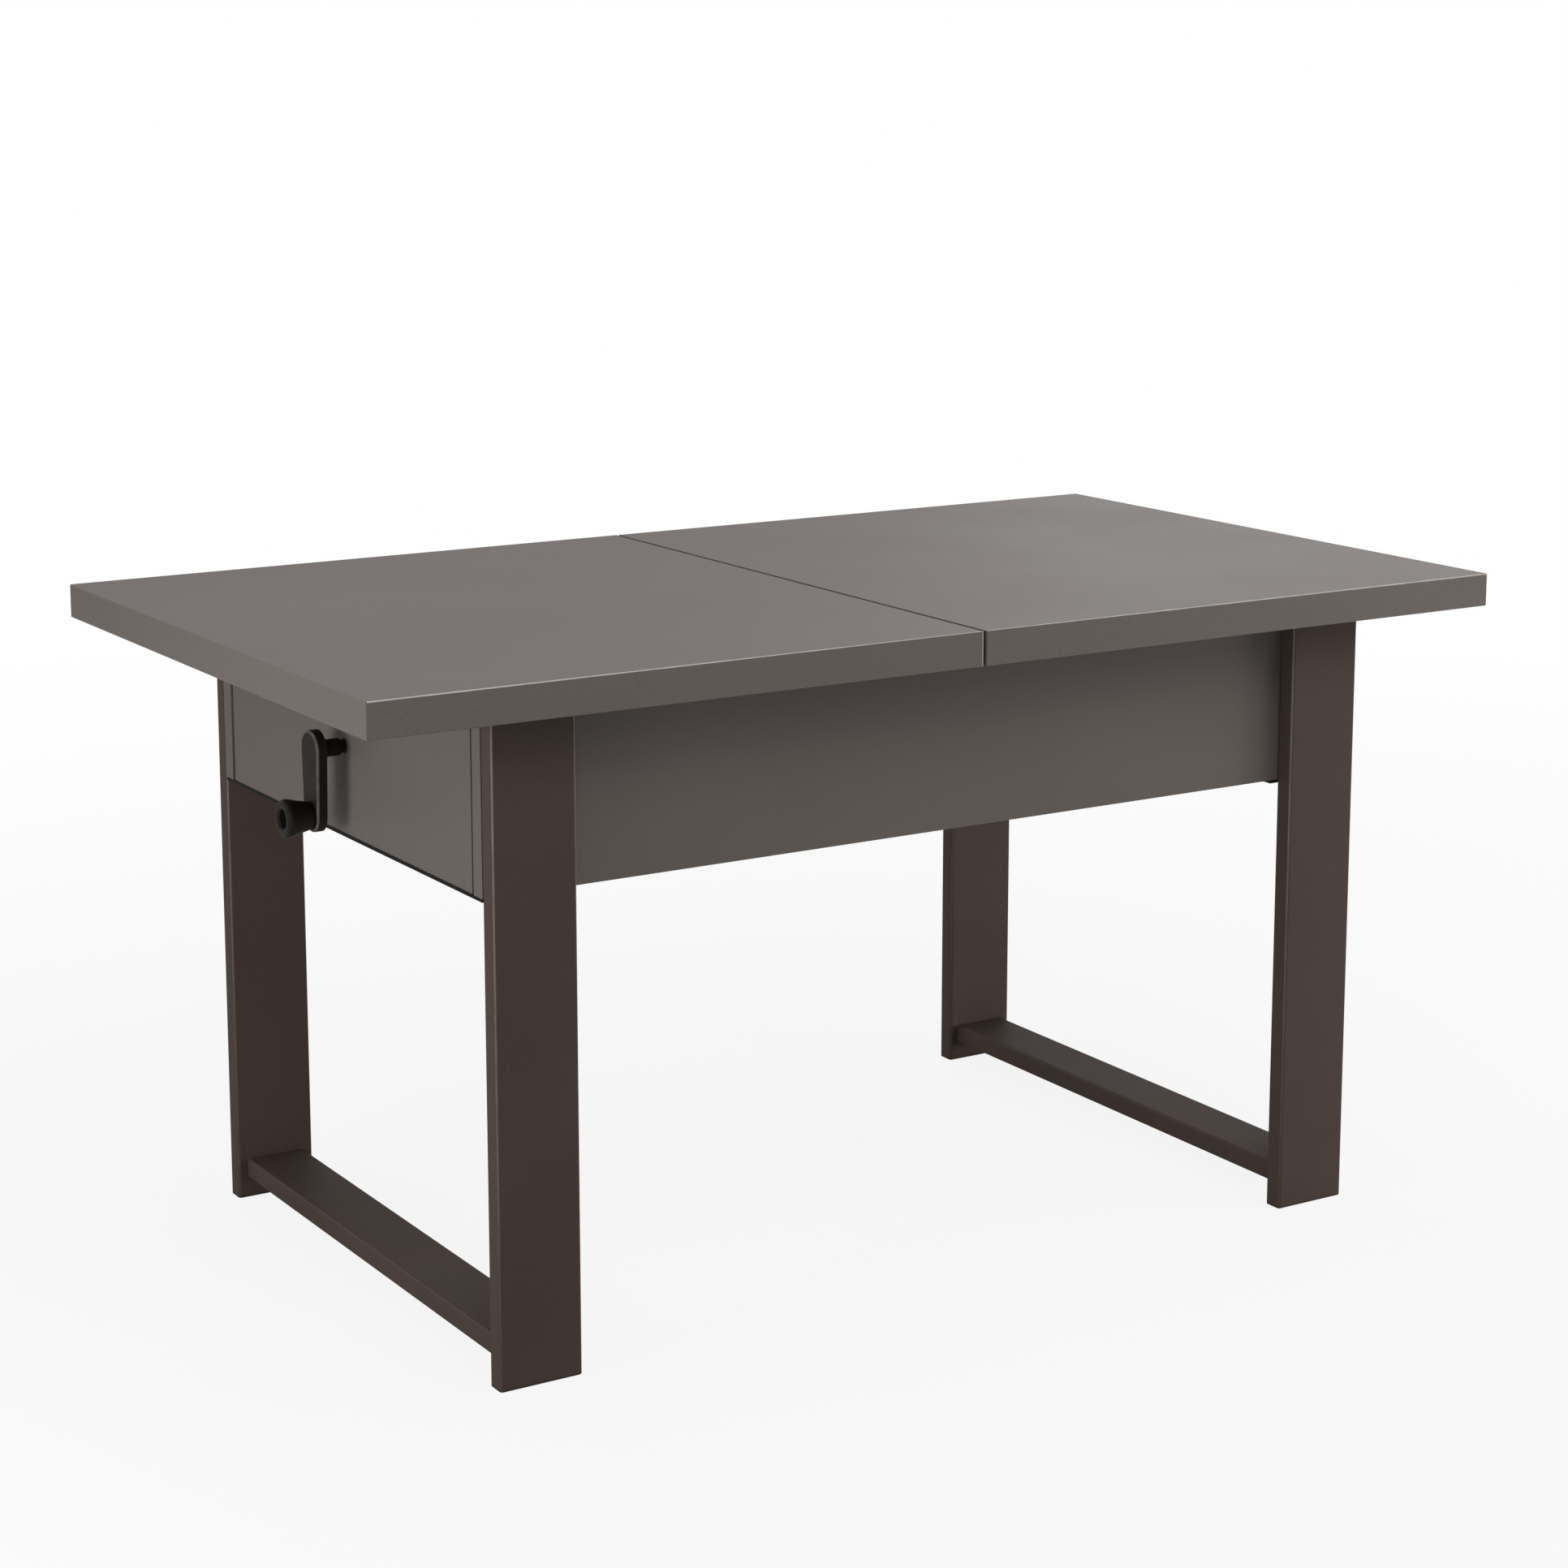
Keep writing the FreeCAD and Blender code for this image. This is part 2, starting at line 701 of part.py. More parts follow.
def make_top_half(sx):
    board = box(sx * seam_gap / 2, sx * table_length / 2, -table_width / 2, table_width / 2,
                underside, table_height)
    board = soften(board, board_edge_radius)
    if sx == SIDES["left"]:
        holes = seam_dowels(dowel_diameter / 2 + dowel_clearance, overrun)
    else:
        holes = seam_dowels(dowel_diameter / 2)
    return board.cut(Part.makeCompound(holes + runner_screws(sx)))


# Folded leaf, stored undersides together on the battens

leaf_half_width = (table_width - leaf_hinge_gap) / 2
fold_level = leaf_bottom + top_thickness + leaf_fold_gap / 2


def make_leaf_half(low):
    board = box(-slide_travel, slide_travel, -leaf_half_width / 2, leaf_half_width / 2,
                low, low + top_thickness)
    board = soften(board, board_edge_radius)
    return board.cut(Part.makeCompound(leaf_hinges()))


def leaf_hinges():
    hinges = []
    half = leaf_hinge_length / 2
    edge = -leaf_half_width / 2
    for sx in SIDES.values():
        x = sx * leaf_hinge_spacing / 2
        reach = leaf_fold_gap / 2 + leaf_hinge_plate
        plates = box(x - half, x + half, edge - leaf_knuckle_radius, edge + leaf_hinge_reach,
                     fold_level - reach, fold_level + reach)
        barrel = rod(leaf_knuckle_radius, V(x - half, edge - leaf_knuckle_radius, fold_level), X_AXIS,
                     leaf_hinge_length)
        hinges.append(plates.fuse(barrel).removeSplitter())
    return hinges


def build():
    for face, sy in FACES.items():
        save("apron_" + face, make_apron(sy))
        save("rail_" + face, make_rail(sy))
        for side, sx in SIDES.items():
            save("leg_" + face + "_" + side, make_leg(sx, sy))
            save("guide_post_" + face + "_" + side, make_post(sx, sy))
            save("runner_" + face + "_" + side, make_runner(sx, sy))
    for side, sx in SIDES.items():
        save("stretcher_" + side, make_stretcher(sx))
        save("cross_plate_" + side, make_cross_plate(sx))
        save("end_panel_" + side, make_end_panel(sx))
        save("crossbar_" + side, make_crossbar(sx))
        save("screw_stand_" + side, make_stand(sx))
        save("lift_screw_" + side, make_lift_screw(sx))
        save("lift_nut_" + side, make_lift_nut(sx))
        save("screw_bevel_" + side, make_screw_bevel(sx))
        save("top_" + side, make_top_half(sx))
        save("runner_screws_" + side, *runner_screws(sx))
    corners = [(sx, sy) for sx in SIDES.values() for sy in FACES.values()]
    cap_bottom = box_top - cap_thickness
    save("leg_feet", *[leg_plug(sx, sy, 0, foot_flange, foot_flange, foot_plug, True) for sx, sy in corners])
    save("leg_caps", *[leg_plug(sx, sy, cap_bottom, box_top, cap_bottom - foot_plug, cap_bottom)
                       for sx, sy in corners])
    save("guide_sleeves", *[make_sleeve(sx, sy) for sx, sy in corners])
    save("post_brackets", *[make_bracket(sx, sy) for sx, sy in corners])
    save("box_floor", make_box_floor())
    save("leaf_battens", *make_battens())
    save("leaf_lower", make_leaf_half(leaf_bottom))
    save("leaf_upper", make_leaf_half(leaf_bottom + top_thickness + leaf_fold_gap))
    save("leaf_hinges", *leaf_hinges())
    save("gearbox_plate_outer", make_gearbox_plate(-end_inside))
    save("gearbox_plate_inner", make_gearbox_plate(-end_inside + gearbox_depth - gearbox_plate))
    save("gearbox_posts", *gearbox_posts())
    save("main_shaft", make_main_shaft())
    save("main_gear", spur_gear(main_teeth, shaft_level, shaft_diameter, False))
    save("shaft_bevels", *make_shaft_bevels())
    save("crank_gear", spur_gear(crank_teeth, crank_level, crank_shaft_diameter, True))
    save("crank_shaft", make_crank_shaft())
    save("crank_arm", make_crank_arm())
    save("crank_pin", make_crank_pin())
    save("crank_knob", make_crank_knob())
    save("leg_bolts", *leg_bolts())
    save("carcass_dowels", *carcass_dowels())
    save("plate_screws", *plate_screws())
    save("seam_dowels", *seam_dowels(dowel_diameter / 2))


build()
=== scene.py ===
import json
import math
import bmesh
import bpy
from mathutils import Matrix, Vector


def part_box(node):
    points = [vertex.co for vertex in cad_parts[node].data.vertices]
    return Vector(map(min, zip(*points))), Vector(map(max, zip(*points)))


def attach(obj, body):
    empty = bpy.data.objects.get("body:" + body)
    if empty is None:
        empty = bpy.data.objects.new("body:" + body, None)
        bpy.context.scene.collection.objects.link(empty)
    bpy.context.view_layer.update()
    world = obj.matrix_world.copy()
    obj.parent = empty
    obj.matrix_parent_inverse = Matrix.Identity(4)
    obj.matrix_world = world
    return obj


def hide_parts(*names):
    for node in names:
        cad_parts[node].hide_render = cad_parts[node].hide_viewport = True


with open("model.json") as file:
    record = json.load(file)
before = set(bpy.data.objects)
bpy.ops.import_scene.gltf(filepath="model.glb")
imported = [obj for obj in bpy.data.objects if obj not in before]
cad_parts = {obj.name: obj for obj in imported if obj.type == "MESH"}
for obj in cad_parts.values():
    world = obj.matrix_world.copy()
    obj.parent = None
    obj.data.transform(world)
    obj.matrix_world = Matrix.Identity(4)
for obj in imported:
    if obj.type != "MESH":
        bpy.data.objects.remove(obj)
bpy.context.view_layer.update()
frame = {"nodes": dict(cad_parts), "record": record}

nodes = frame["nodes"]
scene = bpy.context.scene
mm = 0.001
sides = {"left": -1, "right": 1}
faces = {"front": -1, "back": 1}
print("frame loaded:", len(nodes), "nodes")


# mesh helpers

def meshObject(name, bm):
    bm.normal_update()
    mesh = bpy.data.meshes.new(name)
    bm.to_mesh(mesh)
    bm.free()
    obj = bpy.data.objects.new(name, mesh)
    scene.collection.objects.link(obj)
    return obj


def dress(obj, material, body, slot, *replaced):
    # finish and body of a piece, and the CAD nodes that it stands for; slot is not used
    obj.data.materials.clear()
    obj.data.materials.append(material)
    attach(obj, body)
    if replaced:
        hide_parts(*replaced)
    return obj


def smoothFaces(obj):
    # flats stay flat, rounds run into them
    obj.data.polygons.foreach_set("use_smooth", [True] * len(obj.data.polygons))
    weighted = obj.modifiers.new("evenFaces", "WEIGHTED_NORMAL")
    weighted.keep_sharp = True
    weighted.weight = 100
    return obj


# faces that carry the painted edge highlight
def paintHighlightFaces(bm, highlightFaces):
    layer = bm.faces.layers.float.get("edgeTone") or bm.faces.layers.float.new("edgeTone")
    for face in highlightFaces:
        if face.is_valid:
            face[layer] = 1.0


def boxMesh(low, high):
    bm = bmesh.new()
    bmesh.ops.create_cube(bm, size=1)
    low, high = Vector(low), Vector(high)
    for v in bm.verts:
        v.co = Vector((low[i] + (v.co[i] + 0.5) * (high[i] - low[i]) for i in range(3)))
    return bm


# eased edges; the new faces carry the painted edge highlight
def roundEdges(bm, edges, radius, segments):
    made = bmesh.ops.bevel(bm, geom=edges, offset=radius, offset_type="OFFSET", segments=segments,
                           profile=0.5, affect="EDGES", clamp_overlap=True)
    paintHighlightFaces(bm, made["faces"])


def slab(name, low, high, radius, segments=4):
    # box with all its edges eased
    bm = boxMesh(low, high)
    bm.faces.layers.float.new("edgeTone")
    roundEdges(bm, bm.edges[:], radius, segments)
    return meshObject(name, bm)


def cutHoles(obj, holes):
    # holes: (start, axis, length, radius)
    cutterMesh = bmesh.new()
    for start, axis, length, radius in holes:
        turn = Vector(axis).to_track_quat("Z", "Y").to_matrix().to_4x4()
        place = Matrix.Translation(Vector(start) + Vector(axis) * length / 2) @ turn
        bmesh.ops.create_cone(cutterMesh, cap_ends=True, segments=32, radius1=radius, radius2=radius,
                              depth=length, matrix=place)
    cutter = meshObject(obj.name + "Cutter", cutterMesh)
    applyCut(obj, cutter)


def applyCut(obj, cutter):
    cut = obj.modifiers.new("cut", "BOOLEAN")
    cut.operation = "DIFFERENCE"
    cut.solver = "EXACT"
    cut.object = cutter
    plainMesh(obj)
    bpy.data.objects.remove(cutter)


def plainMesh(obj):
    # the evaluated shape becomes the object's own mesh, with no modifier left
    bpy.context.view_layer.update()
    evaluated = obj.evaluated_get(bpy.context.evaluated_depsgraph_get())
    mesh = bpy.data.meshes.new_from_object(evaluated)
    obj.modifiers.clear()
    old = obj.data
    obj.data = mesh
    bpy.data.meshes.remove(old)


def roundedProfile(points, radius, steps=4):
    # corners of an open profile turned into short arcs, each under half of a side
    sideShare = 0.45
    out = [Vector(points[0])]
    for before, here, after in zip(points, points[1:], points[2:]):
        before, here, after = Vector(before), Vector(here), Vector(after)
        into, away = before - here, after - here
        reach = min(radius, into.length * sideShare, away.length * sideShare)
        start, end = here + into.normalized() * reach, here + away.normalized() * reach
        for n in range(steps + 1):
            t = n / steps
            out.append(start * (1 - t) ** 2 + here * 2 * t * (1 - t) + end * t ** 2)
    out.append(Vector(points[-1]))
    return out


def lathe(name, profile, origin, axis, steps=72):
    # profile: (radius, distance along axis), turned once round and closed
    bm = bmesh.new()
    turn = Vector(axis).to_track_quat("Z", "Y").to_matrix()
    rings = []
    for radius, distance in profile:
        if radius == 0:  # on the axis
            rings.append([bm.verts.new(Vector(origin) + turn @ Vector((0, 0, distance)))])
            continue
        ring = []
        for n in range(steps):
            a = 2 * math.pi * n / steps
            ring.append(bm.verts.new(Vector(origin) + turn @ Vector(
                (radius * math.cos(a), radius * math.sin(a), distance))))
        rings.append(ring)
    for lower, upper in zip(rings, rings[1:]):
        for n in range(steps):
            m = (n + 1) % steps
            quad = [ring[k % len(ring)] for ring, k in ((lower, n), (lower, m), (upper, m), (upper, n))]
            kept = [v for i, v in enumerate(quad) if v not in quad[:i]]
            if len(kept) > 2:
                bm.faces.new(kept)
    bmesh.ops.recalc_face_normals(bm, faces=bm.faces[:])
    return meshObject(name, bm)


def roundedRect(width, depth, radius, steps):
    # points round a rectangle, one arc at each corner, about its middle
    points = []
    for n, (sx, sy) in enumerate(((1, 1), (-1, 1), (-1, -1), (1, -1))):
        centre = Vector((sx * (width / 2 - radius), sy * (depth / 2 - radius)))
        for k in range(steps + 1):
            a = math.pi / 2 * (n + k / steps)
            points.append(centre + Vector((math.cos(a), math.sin(a))) * radius)
    return points


def flatTube(name, low, high, along, corner, endRound, highlights, steps=6):
    # closed bar with rounded long edges and slightly eased ends; its last argument gives the painted
    # highlight line along the corners, low end first
    low, high = Vector(low), Vector(high)
    size, centre = high - low, (high + low) / 2
    across = [i for i in range(3) if i != along]
    bm = bmesh.new()
    highlightLayer = bm.faces.layers.float.new("edgeTone")
    span = (size[along] - 2 * endRound) / len(highlights)
    levels = [(low[along], endRound)]
    levels += [(low[along] + endRound + span * n, 0) for n in range(len(highlights) + 1)]
    levels.append((high[along], endRound))
    rings = []
    for end, inset in levels:
        ring = []
        width, depth = (size[i] - 2 * inset for i in across)
        for p in roundedRect(width, depth, corner - inset / 2, steps):
            co = Vector((0, 0, 0))
            co[across[0]], co[across[1]] = centre[across[0]] + p.x, centre[across[1]] + p.y
            co[along] = end
            ring.append(bm.verts.new(co))
        rings.append(ring)
    count = len(rings[0])
    for r, (lower, upper) in enumerate(zip(rings, rings[1:])):
        for n in range(count):
            face = bm.faces.new((lower[n], lower[(n + 1) % count], upper[(n + 1) % count], upper[n]))
            if 1 <= r <= len(highlights) and n % (steps + 1) in (steps // 2 - 1, steps // 2):
                face[highlightLayer] = highlights[r - 1]  # thin painted highlight along the middle of the corner
    bm.faces.new(rings[0])
    bm.faces.new(rings[-1])
    bmesh.ops.recalc_face_normals(bm, faces=bm.faces[:])
    return meshObject(name, bm)


# shader helpers

# the part of a noise's range that shows, for broad drifts, specks, wood streaks and pores
driftSpan, speckSpan, streakSpan, poreSpan = (0.3, 0.7), (0.35, 0.65), (0.32, 0.68), (0.55, 0.7)


def newNode(tree, kind, **settings):
    node = tree.nodes.new(kind)
    for key, value in settings.items():
        setattr(node, key, value)
    return node


def setInputs(node, **values):
    for name, value in values.items():
        node.inputs[name].default_value = value
    return node


def newGroup(name, inputs, outputs):
    group = bpy.data.node_groups.new(name, "ShaderNodeTree")
    for socket, kind, value in inputs:
        made = group.interface.new_socket(socket, in_out="INPUT", socket_type=kind)
        if value is not None:
            made.default_value = value
    for socket, kind in outputs:
        group.interface.new_socket(socket, in_out="OUTPUT", socket_type=kind)
    return group, newNode(group, "NodeGroupInput"), newNode(group, "NodeGroupOutput")


def mixColor(tree, factor, first, second):
    mix = newNode(tree, "ShaderNodeMix", data_type="RGBA")
    for index, source in ((0, factor), (6, first), (7, second)):
        if isinstance(source, bpy.types.NodeSocket):
            tree.links.new(source, mix.inputs[index])
        else:
            mix.inputs[index].default_value = source
    return mix.outputs[2]


def mathNode(tree, operation, *sources):
    node = newNode(tree, "ShaderNodeMath", operation=operation)
    for index, source in enumerate(sources):
        if isinstance(source, bpy.types.NodeSocket):
            tree.links.new(source, node.inputs[index])
        else:
            node.inputs[index].default_value = source
    return node.outputs[0]


def remap(tree, source, fromLow, fromHigh, toLow, toHigh):
    node = newNode(tree, "ShaderNodeMapRange")
    tree.links.new(source, node.inputs[0])
    for index, value in enumerate((fromLow, fromHigh, toLow, toHigh), 1):
        node.inputs[index].default_value = value
    return node.outputs[0]


def coatGrainGroup():
    # fine skin of a powder coat or a pressed film: height, and broad drifts of tone
    group, start, end = newGroup("coatGrain", [("Vector", "NodeSocketVector", None),
                                               ("Grain Scale", "NodeSocketFloat", 900.0),
                                               ("Drift Scale", "NodeSocketFloat", 4.0)],
                                 [("Height", "NodeSocketFloat"), ("Drift", "NodeSocketFloat"),
                                  ("Speck", "NodeSocketFloat")])
    fine = setInputs(newNode(group, "ShaderNodeTexNoise"), Detail=3.0, Roughness=0.55)
    drift = setInputs(newNode(group, "ShaderNodeTexNoise"), Detail=2.0, Roughness=0.5)
    cells = newNode(group, "ShaderNodeTexVoronoi", feature="F1")
    for node, scale in ((fine, "Grain Scale"), (drift, "Drift Scale"), (cells, "Grain Scale")):
        group.links.new(start.outputs["Vector"], node.inputs["Vector"])
        group.links.new(start.outputs[scale], node.inputs["Scale"])
    height = mathNode(group, "ADD", fine.outputs[0], cells.outputs["Distance"])
    group.links.new(height, end.inputs["Height"])
    group.links.new(drift.outputs[0], end.inputs["Drift"])
    group.links.new(fine.outputs[0], end.inputs["Speck"])
    return group


def edgeHighlightGroup():
    # painted highlight on eased edges, broken up in patches
    group, start, end = newGroup("edgeRub", [("Vector", "NodeSocketVector", None),
                                             ("Break Scale", "NodeSocketFloat", 60.0)],
                                 [("Mask", "NodeSocketFloat")])
    highlightLayer = newNode(group, "ShaderNodeAttribute", attribute_name="edgeTone")
    breaks = setInputs(newNode(group, "ShaderNodeTexNoise"), Detail=4.0, Roughness=0.6)
    group.links.new(start.outputs["Vector"], breaks.inputs["Vector"])
    group.links.new(start.outputs["Break Scale"], breaks.inputs["Scale"])
    faintestHighlight = 0.55
    patch = remap(group, breaks.outputs[0], *driftSpan, faintestHighlight, 1.0)
    group.links.new(mathNode(group, "MULTIPLY", highlightLayer.outputs["Fac"], patch), end.inputs["Mask"])
    return group


def woodGrainGroup():
    # streaks and darker pores; the material's own stretch lays them along its grain
    group, start, end = newGroup("woodGrain", [("Vector", "NodeSocketVector", None),
                                               ("Streak Scale", "NodeSocketFloat", 60.0)],
                                 [("Streak", "NodeSocketFloat"), ("Pore", "NodeSocketFloat")])
    streak = setInputs(newNode(group, "ShaderNodeTexNoise"), Detail=5.0, Roughness=0.62, Distortion=0.4)
    pore = setInputs(newNode(group, "ShaderNodeTexNoise"), Detail=2.0, Roughness=0.7, Scale=900.0)
    group.links.new(start.outputs["Vector"], streak.inputs["Vector"])
    group.links.new(start.outputs["Vector"], pore.inputs["Vector"])
    group.links.new(start.outputs["Streak Scale"], streak.inputs["Scale"])
    group.links.new(streak.outputs[0], end.inputs["Streak"])
    group.links.new(pore.outputs[0], end.inputs["Pore"])
    return group


coatGrain = coatGrainGroup()
edgeRub = edgeHighlightGroup()
woodGrain = woodGrainGroup()


def startMaterial(name, **principled):
    material = bpy.data.materials.new(name)
    material.use_nodes = True
    tree = material.node_tree
    shader = tree.nodes["Principled BSDF"]
    setInputs(shader, **principled)
    coords = newNode(tree, "ShaderNodeTexCoord")
    return material, tree, shader, coords.outputs["Object"]


def placeGroup(tree, group, vector, **values):
    node = newNode(tree, "ShaderNodeGroup", node_tree=group)
    tree.links.new(vector, node.inputs["Vector"])
    for name, value in values.items():
        node.inputs[name.replace("_", " ")].default_value = value
    return node


def stretched(tree, vector, scale):
    mapping = newNode(tree, "ShaderNodeMapping")
    mapping.inputs["Scale"].default_value = scale
    tree.links.new(vector, mapping.inputs["Vector"])
    return mapping.outputs["Vector"]


def bumpInto(tree, shader, height, look):
    bump = newNode(tree, "ShaderNodeBump")
    setInputs(bump, Strength=look["bumpStrength"], Distance=look["bumpDepth"])
    tree.links.new(height, bump.inputs["Height"])
    tree.links.new(bump.outputs[0], shader.inputs["Normal"])


def roughBy(tree, source, look):
    return remap(tree, source, *driftSpan, look["rough"] - look["roughSpan"],
                 look["rough"] + look["roughSpan"])


def shade(color, share=1):
    return tuple(c * share for c in color) + (1,)


def coatedMaterial(name, look):
    # painted, powder-coated, moulded or film-faced surface with a painted highlight on its eased edges
    material, tree, shader, vector = startMaterial(name, **{"Specular IOR Level": look["specular"]})
    grain = placeGroup(tree, coatGrain, vector, Grain_Scale=look["grainScale"],
                       Drift_Scale=look["driftScale"])
    highlightLine = placeGroup(tree, edgeRub, vector, Break_Scale=look["breakScale"])
    drift = remap(tree, grain.outputs["Drift"], *driftSpan, 0, 1)
    speck = remap(tree, grain.outputs["Speck"], *speckSpan, 0, 1)
    # pale colour of the specks and of the painted edge highlight
    speckAndHighlight = shade(look["edgeColor"])
    base = mixColor(tree, drift, shade(look["color"], look["dark"]), shade(look["color"], look["light"]))
    base = mixColor(tree, mathNode(tree, "MULTIPLY", speck, look["speck"]), base, speckAndHighlight)
    # painted highlight along the eased edges
    base = mixColor(tree, mathNode(tree, "MULTIPLY", highlightLine.outputs["Mask"], look["edgeShare"]), base, speckAndHighlight)
    tree.links.new(base, shader.inputs["Base Color"])
    rough = roughBy(tree, grain.outputs["Drift"], look)
    polish = mathNode(tree, "MULTIPLY", highlightLine.outputs["Mask"], look["edgePolish"])
    tree.links.new(mathNode(tree, "SUBTRACT", rough, polish), shader.inputs["Roughness"])
    bumpInto(tree, shader, grain.outputs["Height"], look)
    return material


def metalMaterial(name, look):
    # rolled or turned metal with fine drawn lines and cloudy plating
    material, tree, shader, vector = startMaterial(name, Metallic=1.0)
    lines = stretched(tree, vector, look["lineScale"])
    grain = placeGroup(tree, coatGrain, lines, Grain_Scale=look["grainScale"])
    cloud = placeGroup(tree, coatGrain, vector, Drift_Scale=look["cloudScale"])
    drift = remap(tree, cloud.outputs["Drift"], *driftSpan, 0, 1)
    base = mixColor(tree, drift, shade(look["color"]), shade(look["cloudColor"]))
    tree.links.new(base, shader.inputs["Base Color"])
    tree.links.new(roughBy(tree, grain.outputs["Speck"], look), shader.inputs["Roughness"])
    bumpInto(tree, shader, grain.outputs["Speck"], look)
    return material


def woodMaterial(name, look):
    # raw wood or fibreboard, streaked along its grain
    material, tree, shader, vector = startMaterial(name, **{"Specular IOR Level": look["specular"]})
    lengthwise = stretched(tree, vector, look["stretch"])
    grain = placeGroup(tree, woodGrain, lengthwise, Streak_Scale=look["streakScale"])
    streak = remap(tree, grain.outputs["Streak"], *streakSpan, 0, 1)
    base = mixColor(tree, streak, shade(look["color"]), shade(look["darkColor"]))
    pore = remap(tree, grain.outputs["Pore"], *poreSpan, 0, look["poreShare"])
    base = mixColor(tree, pore, base, shade(look["darkColor"], look["poreDark"]))
    tree.links.new(base, shader.inputs["Base Color"])
    tree.links.new(roughBy(tree, grain.outputs["Streak"], look), shader.inputs["Roughness"])
    bumpInto(tree, shader, grain.outputs["Streak"], look)
    return material


greyLook = dict(color=(0.116, 0.0990, 0.0895), edgeColor=(0.225, 0.208, 0.198), dark=0.97, light=1.03,
                speck=0.05, edgeShare=0.55, edgePolish=0.06, rough=0.50, roughSpan=0.03, specular=0.31,
                grainScale=1400.0, driftScale=5.0, breakScale=25.0, bumpDepth=0.04 * mm, bumpStrength=0.35)
brownLook = dict(color=(0.0605, 0.0425, 0.0365), edgeColor=(0.235, 0.218, 0.207), dark=0.92, light=1.08,
                 speck=0.04, edgeShare=0.75, edgePolish=0.05, rough=0.60, roughSpan=0.04, specular=0.11,
                 grainScale=1100.0, driftScale=6.0, breakScale=40.0, bumpDepth=0.07 * mm, bumpStrength=0.4)
blackLook = dict(color=(0.0112, 0.0096, 0.0084), edgeColor=(0.17, 0.16, 0.145), dark=0.9, light=1.1,
                 speck=0.02, edgeShare=0.6, edgePolish=0.12, rough=0.48, roughSpan=0.04, specular=0.16,
                 grainScale=1600.0, driftScale=30.0, breakScale=120.0, bumpDepth=0.06 * mm,
                 bumpStrength=0.4)
plateLook = dict(blackLook, color=(0.0062, 0.0058, 0.0056), edgeShare=0.06, rough=0.62, specular=0.15)
plasticLook = dict(brownLook, color=(0.049, 0.035, 0.0305), edgeShare=0.2, rough=0.55, grainScale=700.0)
zincLook = dict(color=(0.56, 0.56, 0.57), cloudColor=(0.66, 0.66, 0.64), rough=0.34, roughSpan=0.08,
                grainScale=700.0, lineScale=(0.04, 1, 1), cloudScale=35.0, bumpDepth=0.03 * mm,
                bumpStrength=0.35)
alloyLook = dict(zincLook, color=(0.68, 0.69, 0.70), cloudColor=(0.74, 0.74, 0.75), rough=0.38)
brassLook = dict(zincLook, color=(0.66, 0.47, 0.20), cloudColor=(0.72, 0.53, 0.25), rough=0.3,
                 lineScale=(1, 1, 0.05))
beechLook = dict(color=(0.52, 0.35, 0.21), darkColor=(0.42, 0.26, 0.145), stretch=(1, 0.06, 1),
                 streakScale=55.0, poreShare=0.5, poreDark=0.4, rough=0.6, roughSpan=0.06, specular=0.35,
                 bumpDepth=0.1 * mm, bumpStrength=0.4)
fibreLook = dict(beechLook, color=(0.30, 0.205, 0.13), darkColor=(0.22, 0.145, 0.09), stretch=(1, 1, 1),
                 streakScale=240.0, poreShare=0.35, rough=0.68, bumpDepth=0.12 * mm)

greyBoard = coatedMaterial("greyBoard", greyLook)
# the aprons' and end panels' copy of the board's grey, darkened as painted shade, with little painted edge
# highlight
greyPanel = coatedMaterial("greyPanel", dict(greyLook, color=(0.109, 0.0925, 0.0835), edgeShare=0.08))
# the band's eased edges carry a strong painted highlight
greyBand = coatedMaterial("greyBand", dict(greyLook, edgeColor=(0.50, 0.480, 0.463), edgeShare=0.9,
                                           edgePolish=0.12, rough=0.43, grainScale=900.0, breakScale=60.0))
brownCoat = coatedMaterial("brownCoat", brownLook)
blackCoat = coatedMaterial("blackCoat", blackLook)
blackPlate = coatedMaterial("blackPlate", plateLook)
footPlastic = coatedMaterial("footPlastic", plasticLook)
zincSteel = metalMaterial("zincSteel", zincLook)
runnerAlloy = metalMaterial("runnerAlloy", alloyLook)
nutBrass = metalMaterial("nutBrass", brassLook)
beech = woodMaterial("beech", beechLook)
fibreboard = woodMaterial("fibreboard", fibreLook)
print("materials ready:", len(bpy.data.materials))


# top halves and leaf: faced board with a wrapped edge band

# the band's painted highlight lines: along the long sides and down the left half's seam corners
boardSpec = dict(bandThickness=1.2 * mm, bandEase=1.1 * mm, easeSteps=4, seamShare=0.3,
                 cornerRound=0.3 * mm, longTone=1.0, seamTone=1.0, faceEase=0.15 * mm, faceSteps=2,
                 joint=0.2 * mm)


